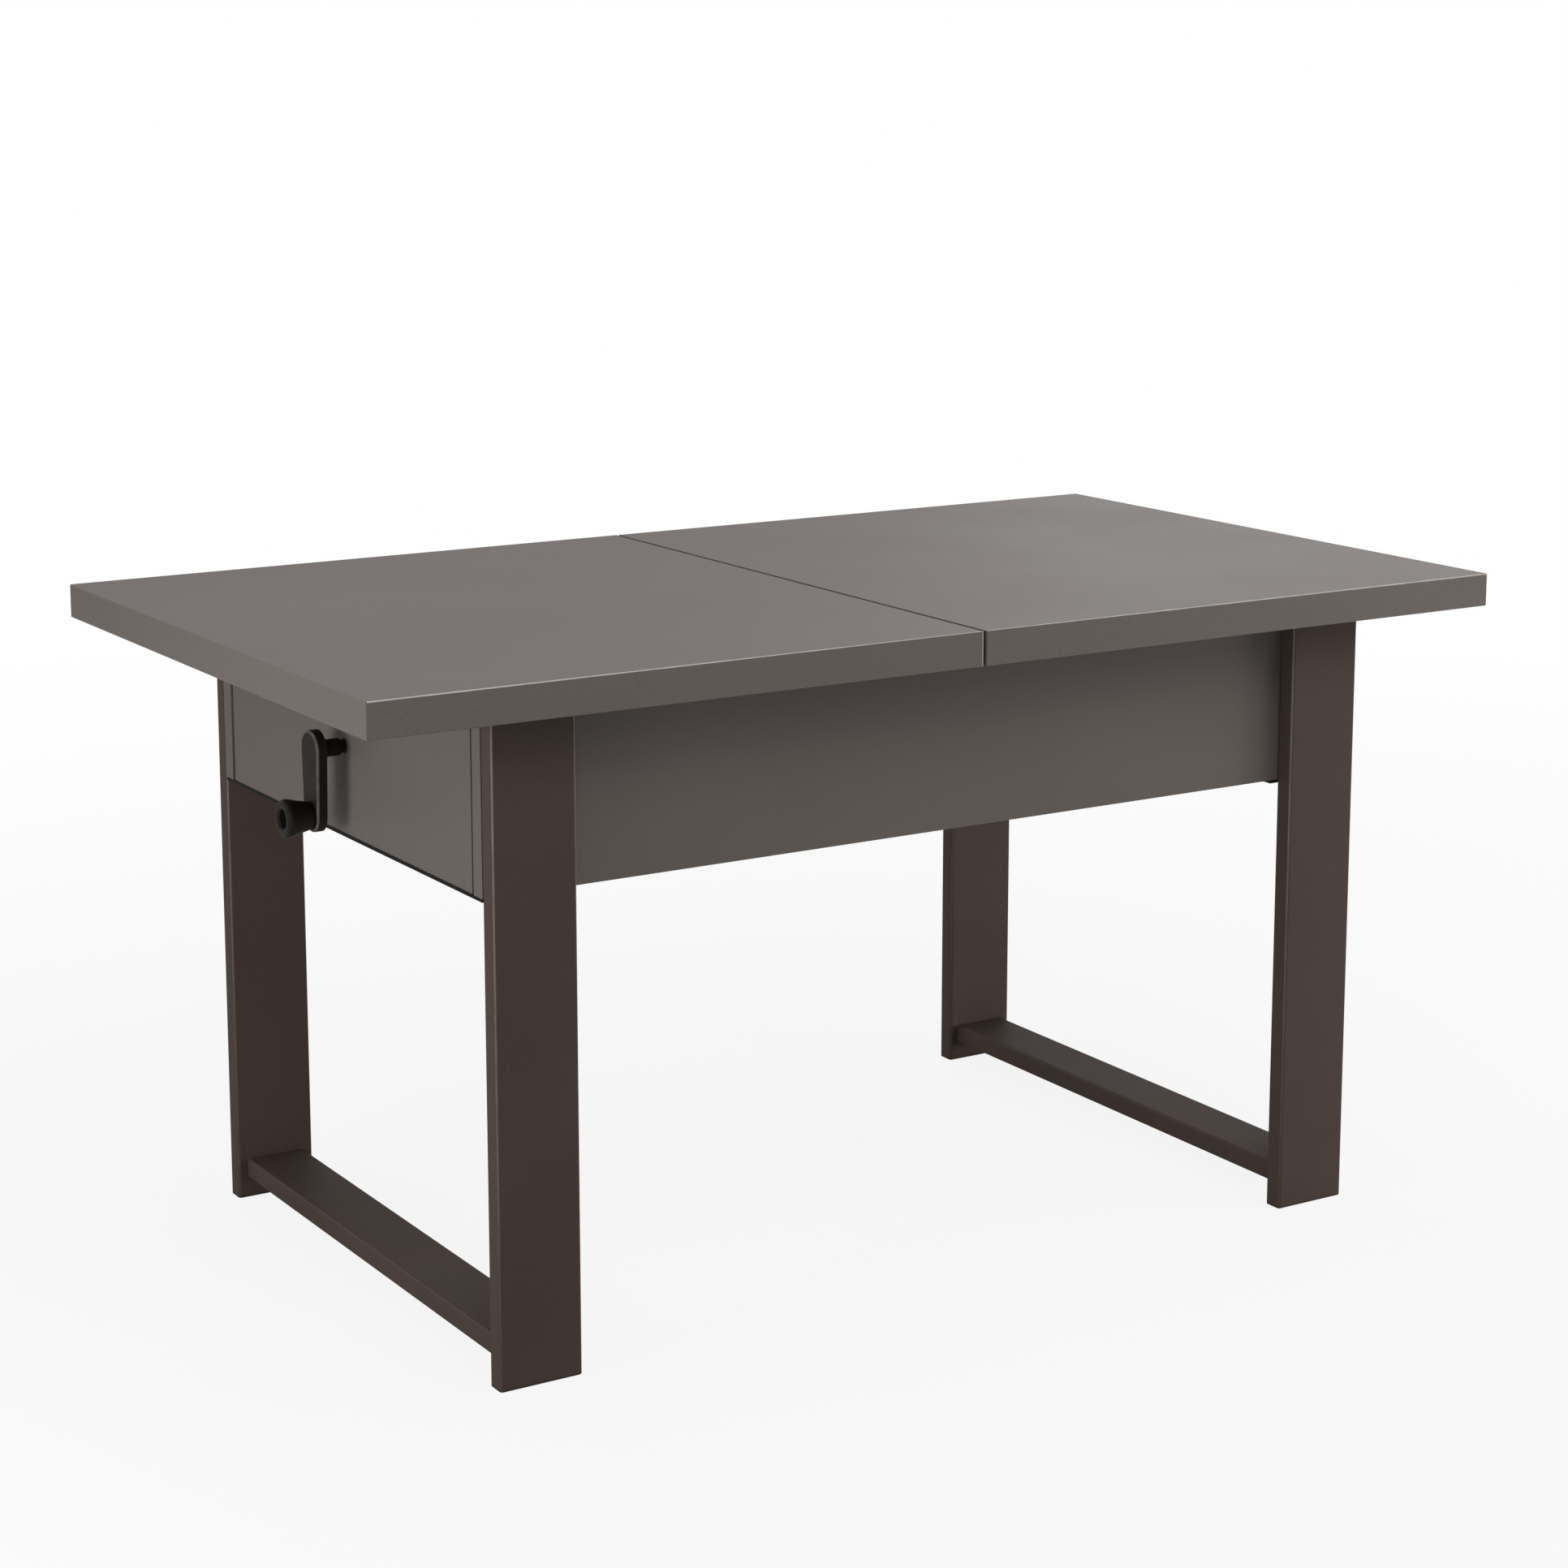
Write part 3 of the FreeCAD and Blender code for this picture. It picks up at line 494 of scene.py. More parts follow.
def edgeBand(name, low, high, spec, seam):
    # ring round the board's four edges, eased along its outer corners, more finely at the seam
    low, high = Vector(low), Vector(high)
    size, centre = high - low, (high + low) / 2
    half = size.z / 2
    bm = bmesh.new()
    highlightLayer = bm.faces.layers.float.new("edgeTone")
    ease, steps = spec["bandEase"], spec["easeSteps"]
    section = [(spec["bandThickness"], half), (ease, half)]
    for n in range(1, steps + 1):
        a = math.pi / 2 * n / steps
        section.append((ease - ease * math.sin(a), half - ease + ease * math.cos(a)))
    section += [(x, -z) for x, z in reversed(section)]
    rings = []
    for inset, z in section:
        corner = max(ease - inset, 0) + spec["cornerRound"]
        ring = []
        for p in roundedRect(size.x - 2 * inset, size.y - 2 * inset, corner, steps):
            sharp = 0
            if seam and p.x * seam > size.x / 2 - ease - spec["cornerRound"]:
                sharp = 1 - spec["seamShare"]
            drop = (half - abs(z)) * (1 - sharp)
            reach = inset * sharp * seam if inset <= ease else 0
            ring.append(bm.verts.new((centre.x + p.x + reach, centre.y + p.y,
                                      centre.z + math.copysign(half - drop, z))))
        rings.append(ring)
    count = len(rings[0])
    for r in range(len(rings)):
        lower, upper = rings[r], rings[(r + 1) % len(rings)]
        for n in range(count):
            face = bm.faces.new((lower[n], lower[(n + 1) % count], upper[(n + 1) % count], upper[n]))
            # a line of light runs along the long sides and down the left half's seam corners
            quarter, flat = n // (steps + 1), n % (steps + 1) == steps
            if 1 <= r <= steps and flat and quarter in (0, 2):
                face[highlightLayer] = spec["longTone"]
            elif 1 <= r <= steps + 1 and not flat and seam > 0 and quarter in (0, 3):
                face[highlightLayer] = spec["seamTone"]
    bmesh.ops.recalc_face_normals(bm, faces=bm.faces[:])
    return meshObject(name, bm)


def facedBoard(name, node, body, seam=0, holes=(), pockets=()):
    # core and edge band of one board; seam: the side, along X, that meets the other half
    low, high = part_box(node)
    inset = Vector((boardSpec["bandThickness"] + boardSpec["joint"],) * 2 + (0,))
    core = slab(name + "Board", low + inset, high - inset, boardSpec["faceEase"], boardSpec["faceSteps"])
    band = edgeBand(name + "EdgeBand", low, high, boardSpec, seam)
    for piece, finish in ((core, greyBoard), (band, greyBand)):
        if holes:
            cutHoles(piece, holes)
        for corners in pockets:
            applyCut(piece, meshObject("pocketCutter", boxMesh(*corners)))
        dress(smoothFaces(piece), finish, body, "grey_board", node)


seamSpec = dict(holeBefore=4 * mm, holeAfter=6 * mm, holeFit=0.2 * mm)
seamLow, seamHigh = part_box("seam_dowels")
dowelRadius = (seamHigh.z - seamLow.z) / 2
dowelRow = seamHigh.y - dowelRadius
seamHoles = []
for y in (-dowelRow, 0, dowelRow):
    start = (seamLow.x - seamSpec["holeBefore"], y, (seamLow.z + seamHigh.z) / 2)
    length = seamHigh.x - seamLow.x + seamSpec["holeBefore"] + seamSpec["holeAfter"]
    seamHoles.append((start, (1, 0, 0), length, dowelRadius + seamSpec["holeFit"]))
facedBoard("topLeft", "top_left", "top_left", 1, seamHoles)
facedBoard("topRight", "top_right", "top_right", -1, seamHoles)

hingeSpec = dict(length=60 * mm, fit=0.05 * mm)
hingeLow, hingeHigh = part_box("leaf_hinges")
hingePockets = []
for start in (hingeLow.x, hingeHigh.x - hingeSpec["length"]):
    fit = Vector((hingeSpec["fit"],) * 3)
    end = Vector((start + hingeSpec["length"], hingeHigh.y, hingeHigh.z))
    hingePockets.append((Vector((start, hingeLow.y, hingeLow.z)) - fit, end + fit))
facedBoard("leafLower", "leaf_lower", "base", pockets=hingePockets)
facedBoard("leafUpper", "leaf_upper", "base", pockets=hingePockets)
print("boards done")


# box: aprons, end panels, battens

panelSpec = dict(ease=0.6 * mm, jointEase=0.3 * mm, grooveWidth=4 * mm, grooveDepth=3 * mm,
                 holeRadius=7 * mm, notchHalf=18 * mm, notchDrop=3 * mm, battenWidth=24 * mm,
                 battenEase=1.5 * mm, cutOver=5 * mm)

for face in faces:
    node = "apron_" + face
    apron = slab("apron" + face.title(), *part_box(node), panelSpec["ease"])
    dress(smoothFaces(apron), greyPanel, "base", "grey_board", node)

runnerLow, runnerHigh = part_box("runner_front_left")
for side, sx in sides.items():
    node = "end_panel_" + side
    low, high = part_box(node)
    over = panelSpec["cutOver"]
    panel = slab("endPanel" + side.title(), low, high, panelSpec["jointEase"])
    outer = high.x if sx > 0 else low.x
    grooveX = sorted((outer + sx * over, outer - sx * panelSpec["grooveDepth"]))
    cutBoxes = []  # room for the slides to pass, and a shadow line at each joint
    for sy in faces.values():
        middle = sy * abs(runnerLow.y + runnerHigh.y) / 2
        half, bottom = panelSpec["notchHalf"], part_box("rail_front")[0].z - panelSpec["notchDrop"]
        cutBoxes.append(((low.x - over, middle - half, bottom),
                         (high.x + over, middle + half, high.z + over)))
        grooveY = sorted((sy * (high.y + over), sy * (high.y - panelSpec["grooveWidth"])))
        cutBoxes.append(((grooveX[0], grooveY[0], low.z - over),
                         (grooveX[1], grooveY[1], high.z + over)))
    for corners in cutBoxes:
        applyCut(panel, meshObject("panelCutter", boxMesh(*corners)))
    if side == "left":
        crankLow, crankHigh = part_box("crank_shaft")
        axisZ = (crankLow.z + crankHigh.z) / 2
        bore = ((low.x - over, 0, axisZ), (1, 0, 0), high.x - low.x + 2 * over, panelSpec["holeRadius"])
        cutHoles(panel, [bore])
    dress(smoothFaces(panel), greyPanel, "base", "grey_board", node)

battenLow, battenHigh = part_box("leaf_battens")
for side, sx in sides.items():
    inner = sx * (battenHigh.x - panelSpec["battenWidth"])
    outer = sx * battenHigh.x
    batten = slab("leafBatten" + side.title(), (min(inner, outer), battenLow.y, battenLow.z),
                  (max(inner, outer), battenHigh.y, battenHigh.z), panelSpec["battenEase"])
    dress(smoothFaces(batten), beech, "base", "beech", "leaf_battens")
print("box done")


# leg frames

legSpec = dict(corner=3.5 * mm, endRound=0.3 * mm, stretcherCorner=3.0 * mm, stretcherEnd=0.05 * mm,
               plateEase=0.4 * mm, plateSteps=2, footTone=0.08, toneSpans=16, stretcherTone=0.1)

# the legs' painted edge highlight fades towards the floor
spans = legSpec["toneSpans"]
legHighlights = [legSpec["footTone"] + (1 - legSpec["footTone"]) * n / (spans - 1) for n in range(spans)]
for side in sides:
    for face in faces:
        node = "leg_" + face + "_" + side
        leg = flatTube("leg" + face.title() + side.title(), *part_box(node), 2, legSpec["corner"],
                       legSpec["endRound"], legHighlights)
        dress(smoothFaces(leg), brownCoat, "base", "brown_steel", node)
    node = "stretcher_" + side
    bar = flatTube("stretcher" + side.title(), *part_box(node), 1, legSpec["stretcherCorner"],
                   legSpec["stretcherEnd"], [legSpec["stretcherTone"]])
    dress(smoothFaces(bar), brownCoat, "base", "brown_steel", node)
    node = "cross_plate_" + side
    plate = slab("crossPlate" + side.title(), *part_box(node), legSpec["plateEase"], legSpec["plateSteps"])
    dress(smoothFaces(plate), blackPlate, "base", "black_steel", node)
print("leg frames done")


# crank

crankSpec = dict(armEase=0.5 * mm, armEaseSteps=2, armBevel=2.0 * mm, armBevelSteps=3, arcSteps=28,
                 shaftRadius=6 * mm, sleeveGap=5 * mm, sleeveRadius=8 * mm, sleeveLength=17 * mm,
                 sleeveEase=0.6 * mm, neckRadius=6.5 * mm)
knobSpec = dict(pinHole=4.1 * mm, neckRadius=12.5 * mm, waistRadius=15.0 * mm, waistReach=12 * mm,
                rimRadius=17.5 * mm, rimLength=6.5 * mm, rimRound=4.2 * mm,
                mouthRound=3.0 * mm, arcSteps=8, boreRadius=8.8 * mm, boreDepth=22 * mm, ease=1.2 * mm,
                easeSteps=5)


def quarterArc(centre, radius, start, steps):
    # points of a quarter turn, in the profile's own plane
    turns = [start + math.pi / 2 * n / steps for n in range(steps + 1)]
    return [(centre[0] + radius * math.cos(a), centre[1] + radius * math.sin(a)) for a in turns]


def crankArm():
    # flat arm, wide at the hub and narrow at the knob, bevelled on its outer face
    low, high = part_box("crank_arm")
    gearLow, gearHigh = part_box("crank_gear")
    hubZ = (gearLow.z + gearHigh.z) / 2
    hubRadius = high.z - hubZ
    knobLow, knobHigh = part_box("crank_knob")
    tipZ = (knobLow.z + knobHigh.z) / 2
    tipRadius = tipZ - low.z
    lean = math.asin((hubRadius - tipRadius) / (hubZ - tipZ))
    outline = []
    steps = crankSpec["arcSteps"]
    for centre, radius, start, end in ((hubZ, hubRadius, -lean, math.pi + lean),
                                       (tipZ, tipRadius, math.pi + lean, 2 * math.pi - lean)):
        for n in range(steps + 1):
            a = start + (end - start) * n / steps
            outline.append((radius * math.cos(a), centre + radius * math.sin(a)))
    bm = bmesh.new()
    bm.faces.layers.float.new("edgeTone")
    back = [bm.verts.new((high.x, y, z)) for y, z in outline]
    front = [bm.verts.new((low.x, y, z)) for y, z in outline]
    bm.faces.new(back)
    frontFace = bm.faces.new(front)
    count = len(outline)
    for n in range(count):
        bm.faces.new((back[n], back[(n + 1) % count], front[(n + 1) % count], front[n]))
    bmesh.ops.recalc_face_normals(bm, faces=bm.faces[:])
    rim = list(frontFace.edges)
    backRim = [e for e in bm.edges if all(v in back for v in e.verts)]
    roundEdges(bm, rim, crankSpec["armBevel"], crankSpec["armBevelSteps"])
    backRim = [e for e in backRim if e.is_valid]
    roundEdges(bm, backRim, crankSpec["armEase"], crankSpec["armEaseSteps"])
    return meshObject("crankArm", bm), hubZ, tipZ


arm, hubZ, tipZ = crankArm()
dress(smoothFaces(arm), blackCoat, "crank", "black_crank", "crank_arm")

# distances along the crank's axis run outwards, towards -X
shaftEnd, armFace = -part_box("crank_shaft")[1].x, -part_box("crank_arm")[1].x
sleeveStart = -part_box("end_panel_left")[0].x + crankSpec["sleeveGap"]
neckStart = sleeveStart + crankSpec["sleeveLength"]
shaftRadius, sleeveRadius, neckRadius = (crankSpec[part + "Radius"] for part in ("shaft", "sleeve", "neck"))
shaftProfile = [(0, shaftEnd), (shaftRadius, shaftEnd), (shaftRadius, sleeveStart),
                (sleeveRadius, sleeveStart), (sleeveRadius, neckStart), (neckRadius, neckStart),
                (neckRadius, armFace), (0, armFace)]
shaft = lathe("crankShaft", roundedProfile(shaftProfile, crankSpec["sleeveEase"]), (0, 0, hubZ), (-1, 0, 0))
dress(smoothFaces(shaft), blackCoat, "crank", "black_crank", "crank_shaft")

knobLow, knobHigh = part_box("crank_knob")
knobStart, knobEnd = -knobHigh.x, -knobLow.x
boreEnd = knobEnd - knobSpec["boreDepth"]
pinHole, boreRadius, rimRadius = (knobSpec[part] for part in ("pinHole", "boreRadius", "rimRadius"))
rimRound, mouthRound, arcSteps = (knobSpec[part] for part in ("rimRound", "mouthRound", "arcSteps"))
knobProfile = roundedProfile([(pinHole, knobStart), (knobSpec["neckRadius"], knobStart),
                              (knobSpec["waistRadius"], knobStart + knobSpec["waistReach"]),
                              (rimRadius, knobEnd - knobSpec["rimLength"])],
                             knobSpec["ease"], knobSpec["easeSteps"])
knobProfile += quarterArc((rimRadius - rimRound, knobEnd - rimRound), rimRound, 0, arcSteps)
knobProfile += quarterArc((boreRadius + mouthRound, knobEnd - mouthRound), mouthRound, math.pi / 2,
                          arcSteps)
knobProfile += [(boreRadius, boreEnd), (pinHole, boreEnd), (pinHole, knobStart)]
knob = lathe("crankKnob", knobProfile, (0, 0, tipZ), (-1, 0, 0))
dress(smoothFaces(knob), blackCoat, "crank_knob", "black_crank", "crank_knob")
print("crank done")


# repeated pieces: screw heads on points, and the thread wound round each lift screw

def newTree(name, inputs):
    tree = bpy.data.node_groups.new(name, "GeometryNodeTree")
    tree.interface.new_socket("Geometry", in_out="INPUT", socket_type="NodeSocketGeometry")
    for socket, kind in inputs:
        tree.interface.new_socket(socket, in_out="INPUT", socket_type=kind)
    tree.interface.new_socket("Geometry", in_out="OUTPUT", socket_type="NodeSocketGeometry")
    return tree, newNode(tree, "NodeGroupInput"), newNode(tree, "NodeGroupOutput")


def finishTree(tree, start, end, geometry):
    real = newNode(tree, "GeometryNodeRealizeInstances")
    painted = newNode(tree, "GeometryNodeSetMaterial")
    tree.links.new(geometry, real.inputs["Geometry"])
    tree.links.new(real.outputs["Geometry"], painted.inputs["Geometry"])
    tree.links.new(start.outputs["Material"], painted.inputs["Material"])
    tree.links.new(painted.outputs["Geometry"], end.inputs["Geometry"])


def headTree():
    # one head on each point, turned by the point's own angles
    tree, start, end = newTree("fastenerHeads", [("Head", "NodeSocketObject"),
                                                 ("Material", "NodeSocketMaterial")])
    head = newNode(tree, "GeometryNodeObjectInfo")
    angles = newNode(tree, "GeometryNodeInputNamedAttribute", data_type="FLOAT_VECTOR")
    angles.inputs["Name"].default_value = "turn"
    copies = newNode(tree, "GeometryNodeInstanceOnPoints")
    tree.links.new(start.outputs["Head"], head.inputs["Object"])
    tree.links.new(start.outputs["Geometry"], copies.inputs["Points"])
    tree.links.new(head.outputs["Geometry"], copies.inputs["Instance"])
    tree.links.new(angles.outputs["Attribute"], copies.inputs["Rotation"])
    finishTree(tree, start, end, copies.outputs["Instances"])
    return tree


def threadTree(turnSteps):
    # a tapered ridge wound upwards at the thread's lead
    tree, start, end = newTree("woundThread", [
        ("Radius", "NodeSocketFloat"), ("Height", "NodeSocketFloat"), ("Turns", "NodeSocketFloat"),
        ("Root Width", "NodeSocketFloat"), ("Crest Width", "NodeSocketFloat"), ("Depth", "NodeSocketFloat"),
        ("Place", "NodeSocketVector"), ("Material", "NodeSocketMaterial")])
    spiral = newNode(tree, "GeometryNodeCurveSpiral")
    spiral.inputs["Resolution"].default_value = turnSteps
    upright = newNode(tree, "GeometryNodeSetCurveNormal", mode="Z_UP")
    ridge = newNode(tree, "GeometryNodeCurvePrimitiveQuadrilateral", mode="TRAPEZOID")
    ridge.inputs["Offset"].default_value = 0
    swept = newNode(tree, "GeometryNodeCurveToMesh")
    swept.inputs["Fill Caps"].default_value = True
    placed = newNode(tree, "GeometryNodeTransform")
    for socket in ("Start Radius", "End Radius"):
        tree.links.new(start.outputs["Radius"], spiral.inputs[socket])
    tree.links.new(start.outputs["Height"], spiral.inputs["Height"])
    tree.links.new(start.outputs["Turns"], spiral.inputs["Rotations"])
    tree.links.new(start.outputs["Root Width"], ridge.inputs["Bottom Width"])
    tree.links.new(start.outputs["Crest Width"], ridge.inputs["Top Width"])
    tree.links.new(start.outputs["Depth"], ridge.inputs["Height"])
    turned = newNode(tree, "GeometryNodeTransform")
    turned.inputs["Rotation"].default_value = (0, 0, -math.pi / 2)
    tree.links.new(ridge.outputs[0], turned.inputs["Geometry"])
    tree.links.new(spiral.outputs[0], upright.inputs["Curve"])
    tree.links.new(upright.outputs[0], swept.inputs["Curve"])
    tree.links.new(turned.outputs[0], swept.inputs["Profile Curve"])
    tree.links.new(swept.outputs[0], placed.inputs["Geometry"])
    tree.links.new(start.outputs["Place"], placed.inputs["Translation"])
    finishTree(tree, start, end, placed.outputs[0])
    return tree


def grow(name, tree, bm, **values):
    obj = meshObject(name, bm)
    modifier = obj.modifiers.new("grow", "NODES")
    modifier.node_group = tree
    for item in tree.interface.items_tree:
        key = item.name.replace(" ", "")
        if item.in_out == "INPUT" and key in values:
            modifier[item.identifier] = values[key]
    plainMesh(obj)
    return obj


def headPoints(places):
    # places: (position, turn)
    bm = bmesh.new()
    layer = bm.verts.layers.float_vector.new("turn")
    for position, turn in places:
        vert = bm.verts.new(position)
        vert[layer] = turn
    return bm


# shares of a head's radius or height
headShares = dict(skirt=0.35, shoulder=(0.72, 0.86), round=0.2, crossReach=0.55, crossHalf=0.13,
                  crossFloor=0.3, cutTop=2, socketRadius=0.5, socketDepth=1.2)
headSteps = dict(round=3, turn=24)


def screwHead(name, radius, height, recess):
    # low domed head, top towards +Z, with a cross or hexagon recess
    inset, rise = headShares["shoulder"]
    profile = [(0, 0), (radius, 0), (radius, height * headShares["skirt"]), (radius * inset, height * rise),
               (0, height)]
    profile = roundedProfile(profile, radius * headShares["round"], headSteps["round"])
    head = lathe(name, profile, (0, 0, 0), (0, 0, 1), headSteps["turn"])
    if recess == "cross":
        arms = [radius * headShares["crossReach"], radius * headShares["crossHalf"]]
        for x, y in (arms, arms[::-1]):
            low, high = (-x, -y, height * headShares["crossFloor"]), (x, y, height * headShares["cutTop"])
            applyCut(head, meshObject("recess", boxMesh(low, high)))
    else:
        socket = radius * headShares["socketRadius"]
        bm = bmesh.new()
        bmesh.ops.create_cone(bm, cap_ends=True, segments=6, radius1=socket, radius2=socket,
                              depth=height * headShares["socketDepth"],
                              matrix=Matrix.Translation((0, 0, height)))
        applyCut(head, meshObject("recess", bm))
    return head


def flutedDowel(name, radius, length, flutes, fluteDepth, chamfer):
    # beech pin along +X, grooved for glue and chamfered at both ends
    bm = bmesh.new()
    rings = []
    for x, inset in ((0, chamfer), (chamfer, 0), (length - chamfer, 0), (length, chamfer)):
        ring = []
        for n in range(2 * flutes):
            a = math.pi * n / flutes
            reach = radius - inset - fluteDepth * (n % 2)
            ring.append(bm.verts.new((x, reach * math.cos(a), reach * math.sin(a))))
        rings.append(ring)
    for lower, upper in zip(rings, rings[1:]):
        for n in range(2 * flutes):
            m = (n + 1) % (2 * flutes)
            bm.faces.new((lower[n], lower[m], upper[m], upper[n]))
    bm.faces.new(rings[0])
    bm.faces.new(rings[-1])
    bmesh.ops.recalc_face_normals(bm, faces=bm.faces[:])
    return meshObject(name, bm)


fastenerSpec = dict(panRadius=3.8 * mm, panHeight=2.2 * mm, boltRadius=5.0 * mm, boltHeight=4.0 * mm,
                    plateSpacing=56 * mm, postRadius=4.5 * mm, standEdge=(7 * mm, 8 * mm),
                    standWall=3 * mm, standTurn=0.4)
dowelSpec = dict(flutes=18, fluteDepth=0.3 * mm, chamfer=1.0 * mm)
heads = headTree()
panHead = screwHead("panHead", fastenerSpec["panRadius"], fastenerSpec["panHeight"], "cross")
boltHead = screwHead("boltHead", fastenerSpec["boltRadius"], fastenerSpec["boltHeight"], "hexagon")
corners = [(sx, sy) for sx in sides.values() for sy in faces.values()]
down, ahead = (math.pi, 0, 0), (0, math.pi / 2, 0)

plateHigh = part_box("plate_screws")[1]
plateRow = plateHigh.y - fastenerSpec["panRadius"]
plateSpan = plateHigh.x - fastenerSpec["panRadius"]
places = []
for sx, sy in corners:
    for x in (plateSpan, plateSpan - fastenerSpec["plateSpacing"]):
        places.append(((sx * x, sy * plateRow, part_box("cross_plate_left")[0].z), down))
screws = grow("plateScrews", heads, headPoints(places), Head=panHead, Material=zincSteel)
dress(screws, zincSteel, "base", "bright_steel", "plate_screws")

boltLow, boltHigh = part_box("leg_bolts")
places = []
for sx, sy in corners:
    for z in (boltLow.z + fastenerSpec["boltRadius"], boltHigh.z - fastenerSpec["boltRadius"]):
        side = sx * (boltHigh.x - fastenerSpec["boltRadius"])
        places.append(((side, sy * abs(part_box("apron_front")[1].y), z), (sy * math.pi / 2, 0, 0)))
bolts = grow("legBolts", heads, headPoints(places), Head=boltHead, Material=zincSteel)
dress(bolts, zincSteel, "base", "bright_steel", "leg_bolts")

places = []
gearLow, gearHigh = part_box("gearbox_posts")
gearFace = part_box("gearbox_plate_inner")[1].x
postRadius = fastenerSpec["postRadius"]
for y in (gearLow.y + postRadius, gearHigh.y - postRadius):
    for z in (gearLow.z + postRadius, gearHigh.z - postRadius):
        places.append(((gearFace, y, z), ahead))
for side in sides:
    standLow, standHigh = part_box("screw_stand_" + side)
    edgeX, edgeY = fastenerSpec["standEdge"]
    for x in (standLow.x + edgeX, standHigh.x - edgeX):
        for y in (standLow.y + edgeY, standHigh.y - edgeY):
            position = (x, y, standLow.z + fastenerSpec["standWall"])
            places.append((position, (0, 0, fastenerSpec["standTurn"])))
screws = grow("driveScrews", heads, headPoints(places), Head=panHead, Material=zincSteel)
dress(screws, zincSteel, "base", "bright_steel")

seamPin = flutedDowel("seamPin", dowelRadius, seamHigh.x - seamLow.x, **dowelSpec)
places = [((seamLow.x, y, (seamLow.z + seamHigh.z) / 2), (0, 0, 0)) for y in (-dowelRow, 0, dowelRow)]
pins = grow("seamPins", heads, headPoints(places), Head=seamPin, Material=beech)
dress(pins, beech, "top_right", "beech", "seam_dowels")
for helper in (panHead, boltHead, seamPin):
    bpy.data.objects.remove(helper)

threadSpec = dict(lead=4.0 * mm, depth=1.15 * mm, rootWidth=2.6 * mm, crestWidth=1.3 * mm, sink=0.05 * mm,
                  runIn=0.2 * mm, runOut=1.5 * mm, turnSteps=40)
screwSpec = dict(crest=7.0 * mm, journal=5.0 * mm, collarGap=0.3 * mm, collarHeight=3.7 * mm, tip=1 * mm,
                 ease=0.4 * mm, easeSteps=2, turnSteps=48)
wound = threadTree(threadSpec["turnSteps"])
depth, rootWidth = threadSpec["depth"], threadSpec["rootWidth"]
root, journal, tip = screwSpec["crest"] - depth, screwSpec["journal"], screwSpec["tip"]
for side in sides:
    node = "lift_screw_" + side
    low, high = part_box(node)
    axisX, collar = (low.x + high.x) / 2, (high.x - low.x) / 2
    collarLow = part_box("screw_stand_" + side)[1].z + screwSpec["collarGap"]
    collarTop = collarLow + screwSpec["collarHeight"]
    profile = [(0, low.z), (journal, low.z), (journal, collarLow), (collar, collarLow), (collar, collarTop),
               (root, collarTop), (root, high.z - tip), (root - tip, high.z), (0, high.z)]
    profile = roundedProfile(profile, screwSpec["ease"], screwSpec["easeSteps"])
    core = lathe("liftScrew" + side.title(), profile, (axisX, 0, 0), (0, 0, 1), screwSpec["turnSteps"])
    dress(smoothFaces(core), zincSteel, "screw_" + side, "bright_steel", node)
    height = high.z - collarTop - rootWidth - threadSpec["runOut"]
    thread = grow("liftThread" + side.title(), wound, bmesh.new(), Height=height,
                  Turns=height / threadSpec["lead"], Radius=root + depth / 2 - threadSpec["sink"],
                  RootWidth=rootWidth, CrestWidth=threadSpec["crestWidth"], Depth=depth, Material=zincSteel,
                  Place=(axisX, 0, collarTop + rootWidth / 2 + threadSpec["runIn"]))
    dress(thread, zincSteel, "screw_" + side, "bright_steel", node)
print("fasteners and threads done")


# CAD nodes that keep their shape

finishes = {
    "grey_board": greyBoard, "brown_steel": brownCoat, "black_steel": blackPlate,
    "dark_plastic": footPlastic, "black_crank": blackCoat, "bright_steel": zincSteel,
    "runner_alloy": runnerAlloy, "nut_brass": nutBrass, "fibreboard": fibreboard, "beech": beech,
}
slotOf = {part["node"]: part["material_slot"] for part in frame["record"]["subparts"]}
for name, obj in nodes.items():
    if obj.hide_render:
        continue
    obj.data.materials.clear()
    obj.data.materials.append(finishes[slotOf[name]])
print("finishes set")


# floor, light and camera

stageSpec = dict(floorSize=60.0, floorDrop=0.4 * mm, floorColor=(0.48, 0.478, 0.475, 1), floorRough=0.9,
                 floorSpecular=0.1, whiteNear=0.88, fadeStart=0.9, fadeEnd=3.2, worldLight=0.27,
                 worldGloss=0.62)
cameraSpec = dict(place=(-1.6914, -2.7199, 1.1509), yaw=31.85, pitch=10.17, lens=76.96, shift=-0.10,
                  sensor=36, clipEnd=100)
lightSpec = dict(
    left=dict(place=(-1.8, -0.36, 0.54), target=(-0.45, -0.1, 0.5), size=(0.7, 0.5), power=14.5,
              gleam=False),
    overhead=dict(place=(0.5, 0.3, 3.4), target=(0.2, 0, 0.5), size=(3.0, 2.2), power=41),
    front=dict(place=(-0.2, -2.3, 3.3), target=(0, -0.3, 0.4), size=(2.2, 1.4), power=45),
    backRight=dict(place=(2.9, 2.2, 1.7), target=(0.3, 0, 0.5), size=(2.0, 1.6), power=8),
    back=dict(place=(-0.3, 2.9, 0.85), target=(0, 0.3, 0.4), size=(2.4, 1.0), power=26, gleam=False),
    frontRight=dict(place=(2.1, -1.9, 1.75), target=(0.3, 0, 0.4), size=(1.0, 0.8), power=17),
    rightLow=dict(place=(2.0, -0.75, 0.16), target=(0.43, 0.25, 0.25), size=(0.8, 0.3), power=26,
                  gleam=False))


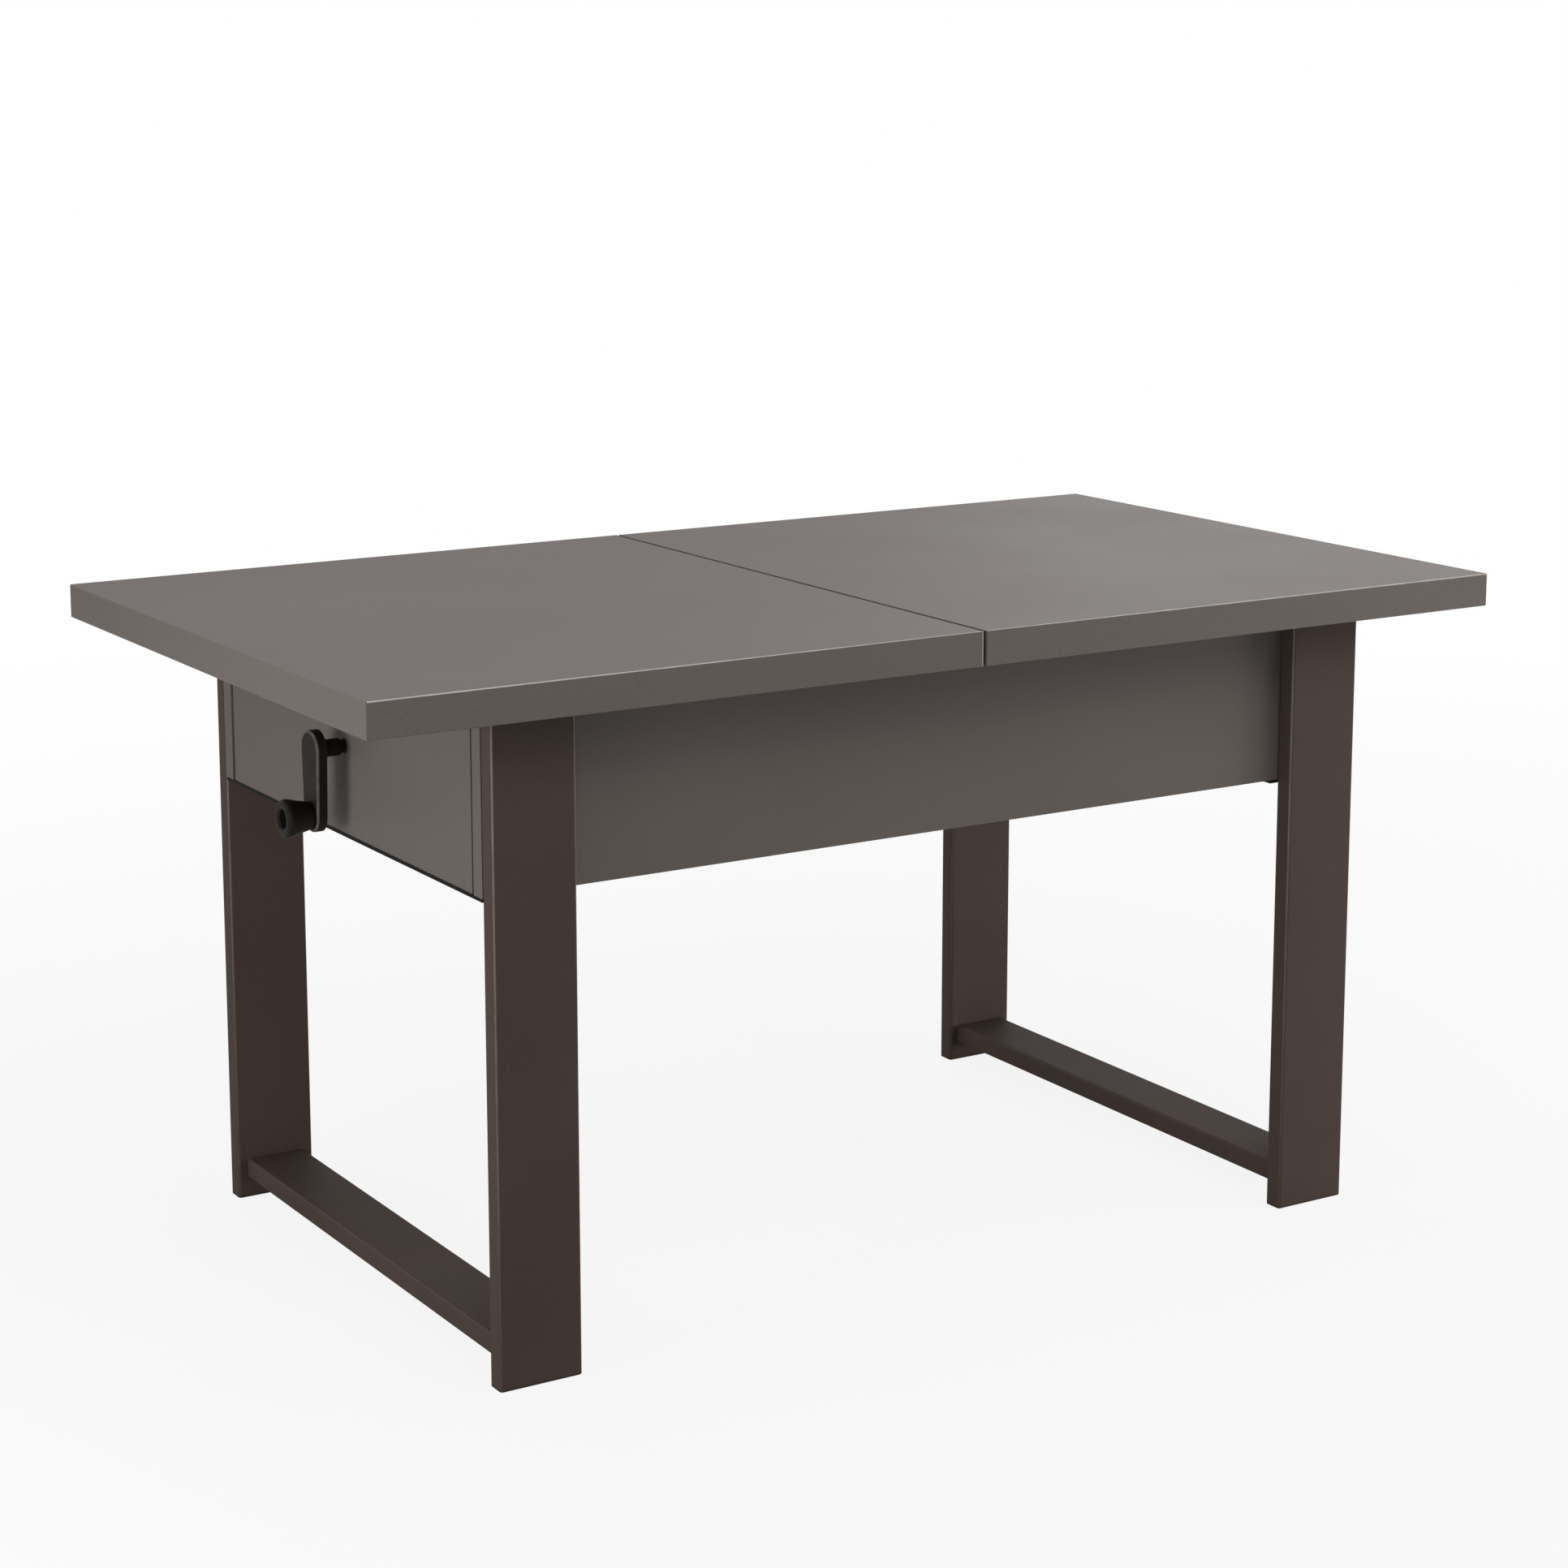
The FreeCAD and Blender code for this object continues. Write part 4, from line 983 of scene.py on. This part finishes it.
def paleFloor():
    bm = bmesh.new()
    bmesh.ops.create_grid(bm, x_segments=2, y_segments=2, size=stageSpec["floorSize"] / 2)
    for v in bm.verts:
        v.co.z = -stageSpec["floorDrop"]
    floor = meshObject("paleFloor", bm)
    material = bpy.data.materials.new("paleFloor")
    material.use_nodes = True
    tree = material.node_tree
    shader = tree.nodes["Principled BSDF"]
    setInputs(shader, **{"Base Color": stageSpec["floorColor"], "Roughness": stageSpec["floorRough"],
                         "Specular IOR Level": stageSpec["floorSpecular"]})
    glow = setInputs(newNode(tree, "ShaderNodeEmission"), Strength=1.0)
    ray = newNode(tree, "ShaderNodeLightPath")
    coords = newNode(tree, "ShaderNodeTexCoord")
    reach = newNode(tree, "ShaderNodeVectorMath", operation="LENGTH")
    tree.links.new(coords.outputs["Object"], reach.inputs[0])
    fade = remap(tree, reach.outputs["Value"], stageSpec["fadeStart"], stageSpec["fadeEnd"],
                 stageSpec["whiteNear"], 1)
    share = mathNode(tree, "MULTIPLY", ray.outputs["Is Camera Ray"], fade)
    mix = newNode(tree, "ShaderNodeMixShader")
    tree.links.new(share, mix.inputs[0])
    tree.links.new(shader.outputs[0], mix.inputs[1])
    tree.links.new(glow.outputs[0], mix.inputs[2])
    clear = newNode(tree, "ShaderNodeBsdfTransparent")
    side = newNode(tree, "ShaderNodeNewGeometry")
    oneWay = newNode(tree, "ShaderNodeMixShader")  # nothing hides the underside
    tree.links.new(side.outputs["Backfacing"], oneWay.inputs[0])
    tree.links.new(mix.outputs[0], oneWay.inputs[1])
    tree.links.new(clear.outputs[0], oneWay.inputs[2])
    tree.links.new(oneWay.outputs[0], tree.nodes["Material Output"].inputs["Surface"])
    floor.data.materials.append(material)


def whiteWorld():
    world = bpy.data.worlds.new("whiteStudio")
    scene.world = world
    world.use_nodes = True
    tree = world.node_tree
    background = tree.nodes["Background"]
    setInputs(background, Color=(1, 1, 1, 1))
    ray = newNode(tree, "ShaderNodeLightPath")
    gloss = remap(tree, ray.outputs["Is Glossy Ray"], 0, 1, stageSpec["worldLight"],
                  stageSpec["worldGloss"])
    strength = mathNode(tree, "MAXIMUM", gloss, ray.outputs["Is Camera Ray"])
    tree.links.new(strength, background.inputs["Strength"])


def softbox(name, place, target, size, power, gleam=True):
    lamp = bpy.data.lights.new(name, "AREA")
    lamp.shape = "RECTANGLE"
    lamp.size, lamp.size_y = size
    lamp.energy = power
    obj = bpy.data.objects.new(name, lamp)
    scene.collection.objects.link(obj)
    obj.location = place
    obj.rotation_euler = (Vector(target) - Vector(place)).to_track_quat("-Z", "Y").to_euler()
    obj.visible_glossy = gleam  # low lamps would burn out in the bright metal


def studioCamera():
    camera = bpy.data.objects.new("studioCamera", bpy.data.cameras.new("studioCamera"))
    scene.collection.objects.link(camera)
    camera.location = cameraSpec["place"]
    yaw, pitch = math.radians(cameraSpec["yaw"]), math.radians(cameraSpec["pitch"])
    ahead = Vector((math.sin(yaw) * math.cos(pitch), math.cos(yaw) * math.cos(pitch), -math.sin(pitch)))
    camera.rotation_euler = ahead.to_track_quat("-Z", "Y").to_euler()
    camera.data.sensor_width = cameraSpec["sensor"]
    camera.data.lens = cameraSpec["lens"]
    camera.data.shift_y = cameraSpec["shift"]
    camera.data.clip_end = cameraSpec["clipEnd"]
    scene.camera = camera


paleFloor()
whiteWorld()
for name, light in lightSpec.items():
    softbox(name + "Softbox", **light)
studioCamera()
scene.view_settings.view_transform = "Standard"
print("studio ready")
